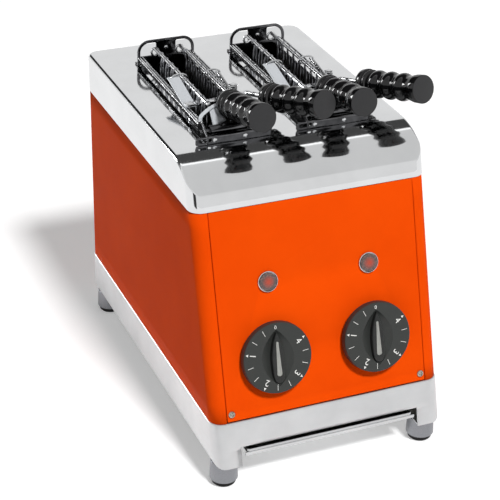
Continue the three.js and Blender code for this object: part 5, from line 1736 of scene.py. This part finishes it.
class TOASTER_OT_carried(bpy.types.Operator):
    """Finishes of the nodes that are shown as the frame has them"""

    bl_idname = "toaster.carried"
    bl_label = "Carried-over nodes"

    def execute(self, context):
        wanted = {"base_plate": heat_sheet(), "cable_gland": nylon()}
        for side in SIDES:
            wanted["heat_chamber_" + side] = heat_sheet()
            wanted["heater_frame_" + side] = quartz_glass()
            wanted["timer_" + side] = heat_sheet()
            wanted["timer_shaft_" + side] = spring_wire()
        for node, material in wanted.items():
            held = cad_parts[node].data.materials
            held.clear()
            held.append(material)
        return {"FINISHED"}


# Stage

# Cards that only the polished steel mirrors, set for the main camera: the dark ceiling edge behind,
# the grey ceiling, a bright strip between them, a dark corner in front on the left, a dark wall
# behind and a bright window at the back on the left. Each has its corners and its strength.
CARDS = {
    "dark_card": (
        [(-2, 1.634, 1.727), (4, 1.634, 1.727), (4, 0.829, 2.376), (-2, 0.829, 2.376)], 0.07
    ),
    "grey_card": ([(-2, 0.65, 2.47), (4, 0.65, 2.47), (4, -1.6, 1.93), (-2, -1.6, 1.93)], 0.76),
    "strip_card": ([(-2, 0.829, 2.376), (4, 0.829, 2.376), (4, 0.69, 2.45), (-2, 0.69, 2.45)], 1.5),
    "corner_card": (
        [(-1.13, -1.4, 0.005), (-1.51, -0.92, 0.005), (-1.51, -0.92, 0.5), (-1.13, -1.4, 0.5)],
        0.05,
    ),
    "side_card": (
        [(-3, 1.99, 0.85), (0.15, 1.99, 0.85), (0.4, 1.634, 1.727), (-3, 1.634, 1.727)], 0.03
    ),
    "window_card": (
        [(-1.78, 1.6, 0.63), (-1.32, 2.0, 0.63), (-1.32, 2.0, 1.56), (-1.78, 1.6, 1.56)], 20
    ),
}
WHITE, BLACK = (1, 1, 1, 1), (0, 0, 0, 1)


def flat_card(name, corners, material):
    """A four-cornered card of the stage, and the emptied node tree of its own material."""
    mesh = bpy.data.meshes.new(name)
    mesh.from_pydata(corners, [], [[0, 1, 2, 3]])
    mesh.materials.append(bpy.data.materials.new(material))
    made = bpy.data.objects.new(name, mesh)
    bpy.context.scene.collection.objects.link(made)
    return made, cleared(mesh.materials[0])


class TOASTER_OT_stage(bpy.types.Operator):
    """Pale floor, white surround, the cards that the steel mirrors, a soft light and the camera"""

    bl_idname = "toaster.stage"
    bl_label = "Stage"

    def execute(self, context):
        scene = context.scene
        scene.view_settings.view_transform = "Standard"

        # White paper: matt, with a glow of its own for the camera and for mirrors
        sheet_edge = [(-6, -6, 0), (6, -6, 0), (6, 6, 0), (-6, 6, 0)]
        _, tree = flat_card("floor", sheet_edge, "white_paper_roll")
        rays = add(tree, "ShaderNodeLightPath").outputs
        direct = add(
            tree, "ShaderNodeMath", {0: rays["Is Camera Ray"], 1: rays["Is Glossy Ray"]},
            operation="MAXIMUM",
        )
        matt = add(tree, "ShaderNodeBsdfDiffuse", {"Color": linear("E8E8E8")})
        glow = add(tree, "ShaderNodeEmission", {"Color": WHITE, "Strength": 0.35})
        off = add(tree, "ShaderNodeEmission", {"Color": BLACK, "Strength": 0.0})
        lit = add(
            tree, "ShaderNodeMixShader",
            {0: direct.outputs[0], 1: off.outputs[0], 2: glow.outputs[0]},
        )
        both = add(tree, "ShaderNodeAddShader", {0: matt.outputs[0], 1: lit.outputs[0]})
        add(tree, "ShaderNodeOutputMaterial", {"Surface": both.outputs[0]})

        # The surround: white to the camera, bright to mirrors and faint as light
        scene.world = bpy.data.worlds.new("studio")
        tree = cleared(scene.world)
        rays = add(tree, "ShaderNodeLightPath").outputs
        clear = add(
            tree, "ShaderNodeMath", {0: rays["Is Camera Ray"], 1: rays["Is Transmission Ray"]},
            operation="MAXIMUM",
        )
        soft, mirrored, white = (
            add(tree, "ShaderNodeBackground", {"Color": WHITE, "Strength": strength}).outputs[0]
            for strength in (0.14, 0.92, 1.0)
        )
        mixed = add(tree, "ShaderNodeMixShader", {0: rays["Is Glossy Ray"], 1: soft, 2: mirrored})
        mixed = add(
            tree, "ShaderNodeMixShader", {0: clear.outputs[0], 1: mixed.outputs[0], 2: white}
        )
        add(tree, "ShaderNodeOutputWorld", {"Surface": mixed.outputs[0]})

        toward = Vector((0.085, -0.58, 0.80)).normalized()
        light = bpy.data.lights.new("key", "SUN")
        light.energy, light.angle = 2.95, 0.16
        lamp = bpy.data.objects.new("key", light)
        lamp.location = Vector((0, 0, 0.14)) + toward * 2.4
        lamp.rotation_mode = "QUATERNION"
        lamp.rotation_quaternion = (-toward).to_track_quat("-Z", "Y")
        lamp.visible_glossy = False
        scene.collection.objects.link(lamp)

        for name, (corners, strength) in CARDS.items():
            card, tree = flat_card(name, corners, name)
            glow = add(tree, "ShaderNodeEmission", {"Color": WHITE, "Strength": strength})
            add(tree, "ShaderNodeOutputMaterial", {"Surface": glow.outputs[0]})
            card.visible_camera = card.visible_diffuse = False
            card.visible_shadow = card.visible_transmission = False

        lens = bpy.data.cameras.new("camera")
        lens.sensor_width, lens.lens = 36, 119.49
        camera = bpy.data.objects.new("camera", lens)
        camera.location = (-0.5589, -1.2921, 0.9032)
        camera.rotation_euler = (1.067906, -0.017881, -0.391740)
        scene.collection.objects.link(camera)
        scene.camera = camera
        return {"FINISHED"}


OPERATORS = (
    TOASTER_OT_cover,
    TOASTER_OT_wrapper,
    TOASTER_OT_front_panel,
    TOASTER_OT_plinth,
    TOASTER_OT_tray,
    TOASTER_OT_feet,
    TOASTER_OT_screws,
    TOASTER_OT_knobs,
    TOASTER_OT_lamps,
    TOASTER_OT_handles,
    TOASTER_OT_slot_frames,
    TOASTER_OT_tong_grids,
    TOASTER_OT_tong_arms,
    TOASTER_OT_tong_pivots,
    TOASTER_OT_carried,
    TOASTER_OT_stage,
)


class TOASTER_PT_panel(bpy.types.Panel):
    """Pieces of the toaster and the sizes behind them"""

    bl_idname = "TOASTER_PT_panel"
    bl_label = "Bar toaster"
    bl_space_type = "VIEW_3D"
    bl_region_type = "UI"
    bl_category = "Toaster"

    def draw(self, context):
        column = self.layout.column(align=True)
        for operator in OPERATORS:
            column.operator(operator.bl_idname)
        for group in SIZE_GROUPS:
            box = self.layout.box()
            for name in SIZE_GROUPS[group].__annotations__:
                box.prop(chosen(group), name)


def register():
    for made in (*SIZE_GROUPS.values(), *OPERATORS, TOASTER_PT_panel):
        bpy.utils.register_class(made)
    for name, group in SIZE_GROUPS.items():
        setattr(bpy.types.Scene, "toaster_" + name, PointerProperty(type=group))


def unregister():
    for name in SIZE_GROUPS:
        delattr(bpy.types.Scene, "toaster_" + name)
    for made in reversed((*SIZE_GROUPS.values(), *OPERATORS, TOASTER_PT_panel)):
        bpy.utils.unregister_class(made)


def main():
    register()
    for operator in OPERATORS:
        getattr(bpy.ops.toaster, operator.bl_idname.removeprefix("toaster."))()
    bpy.context.view_layer.update()


if __name__ == "__main__":
    main()
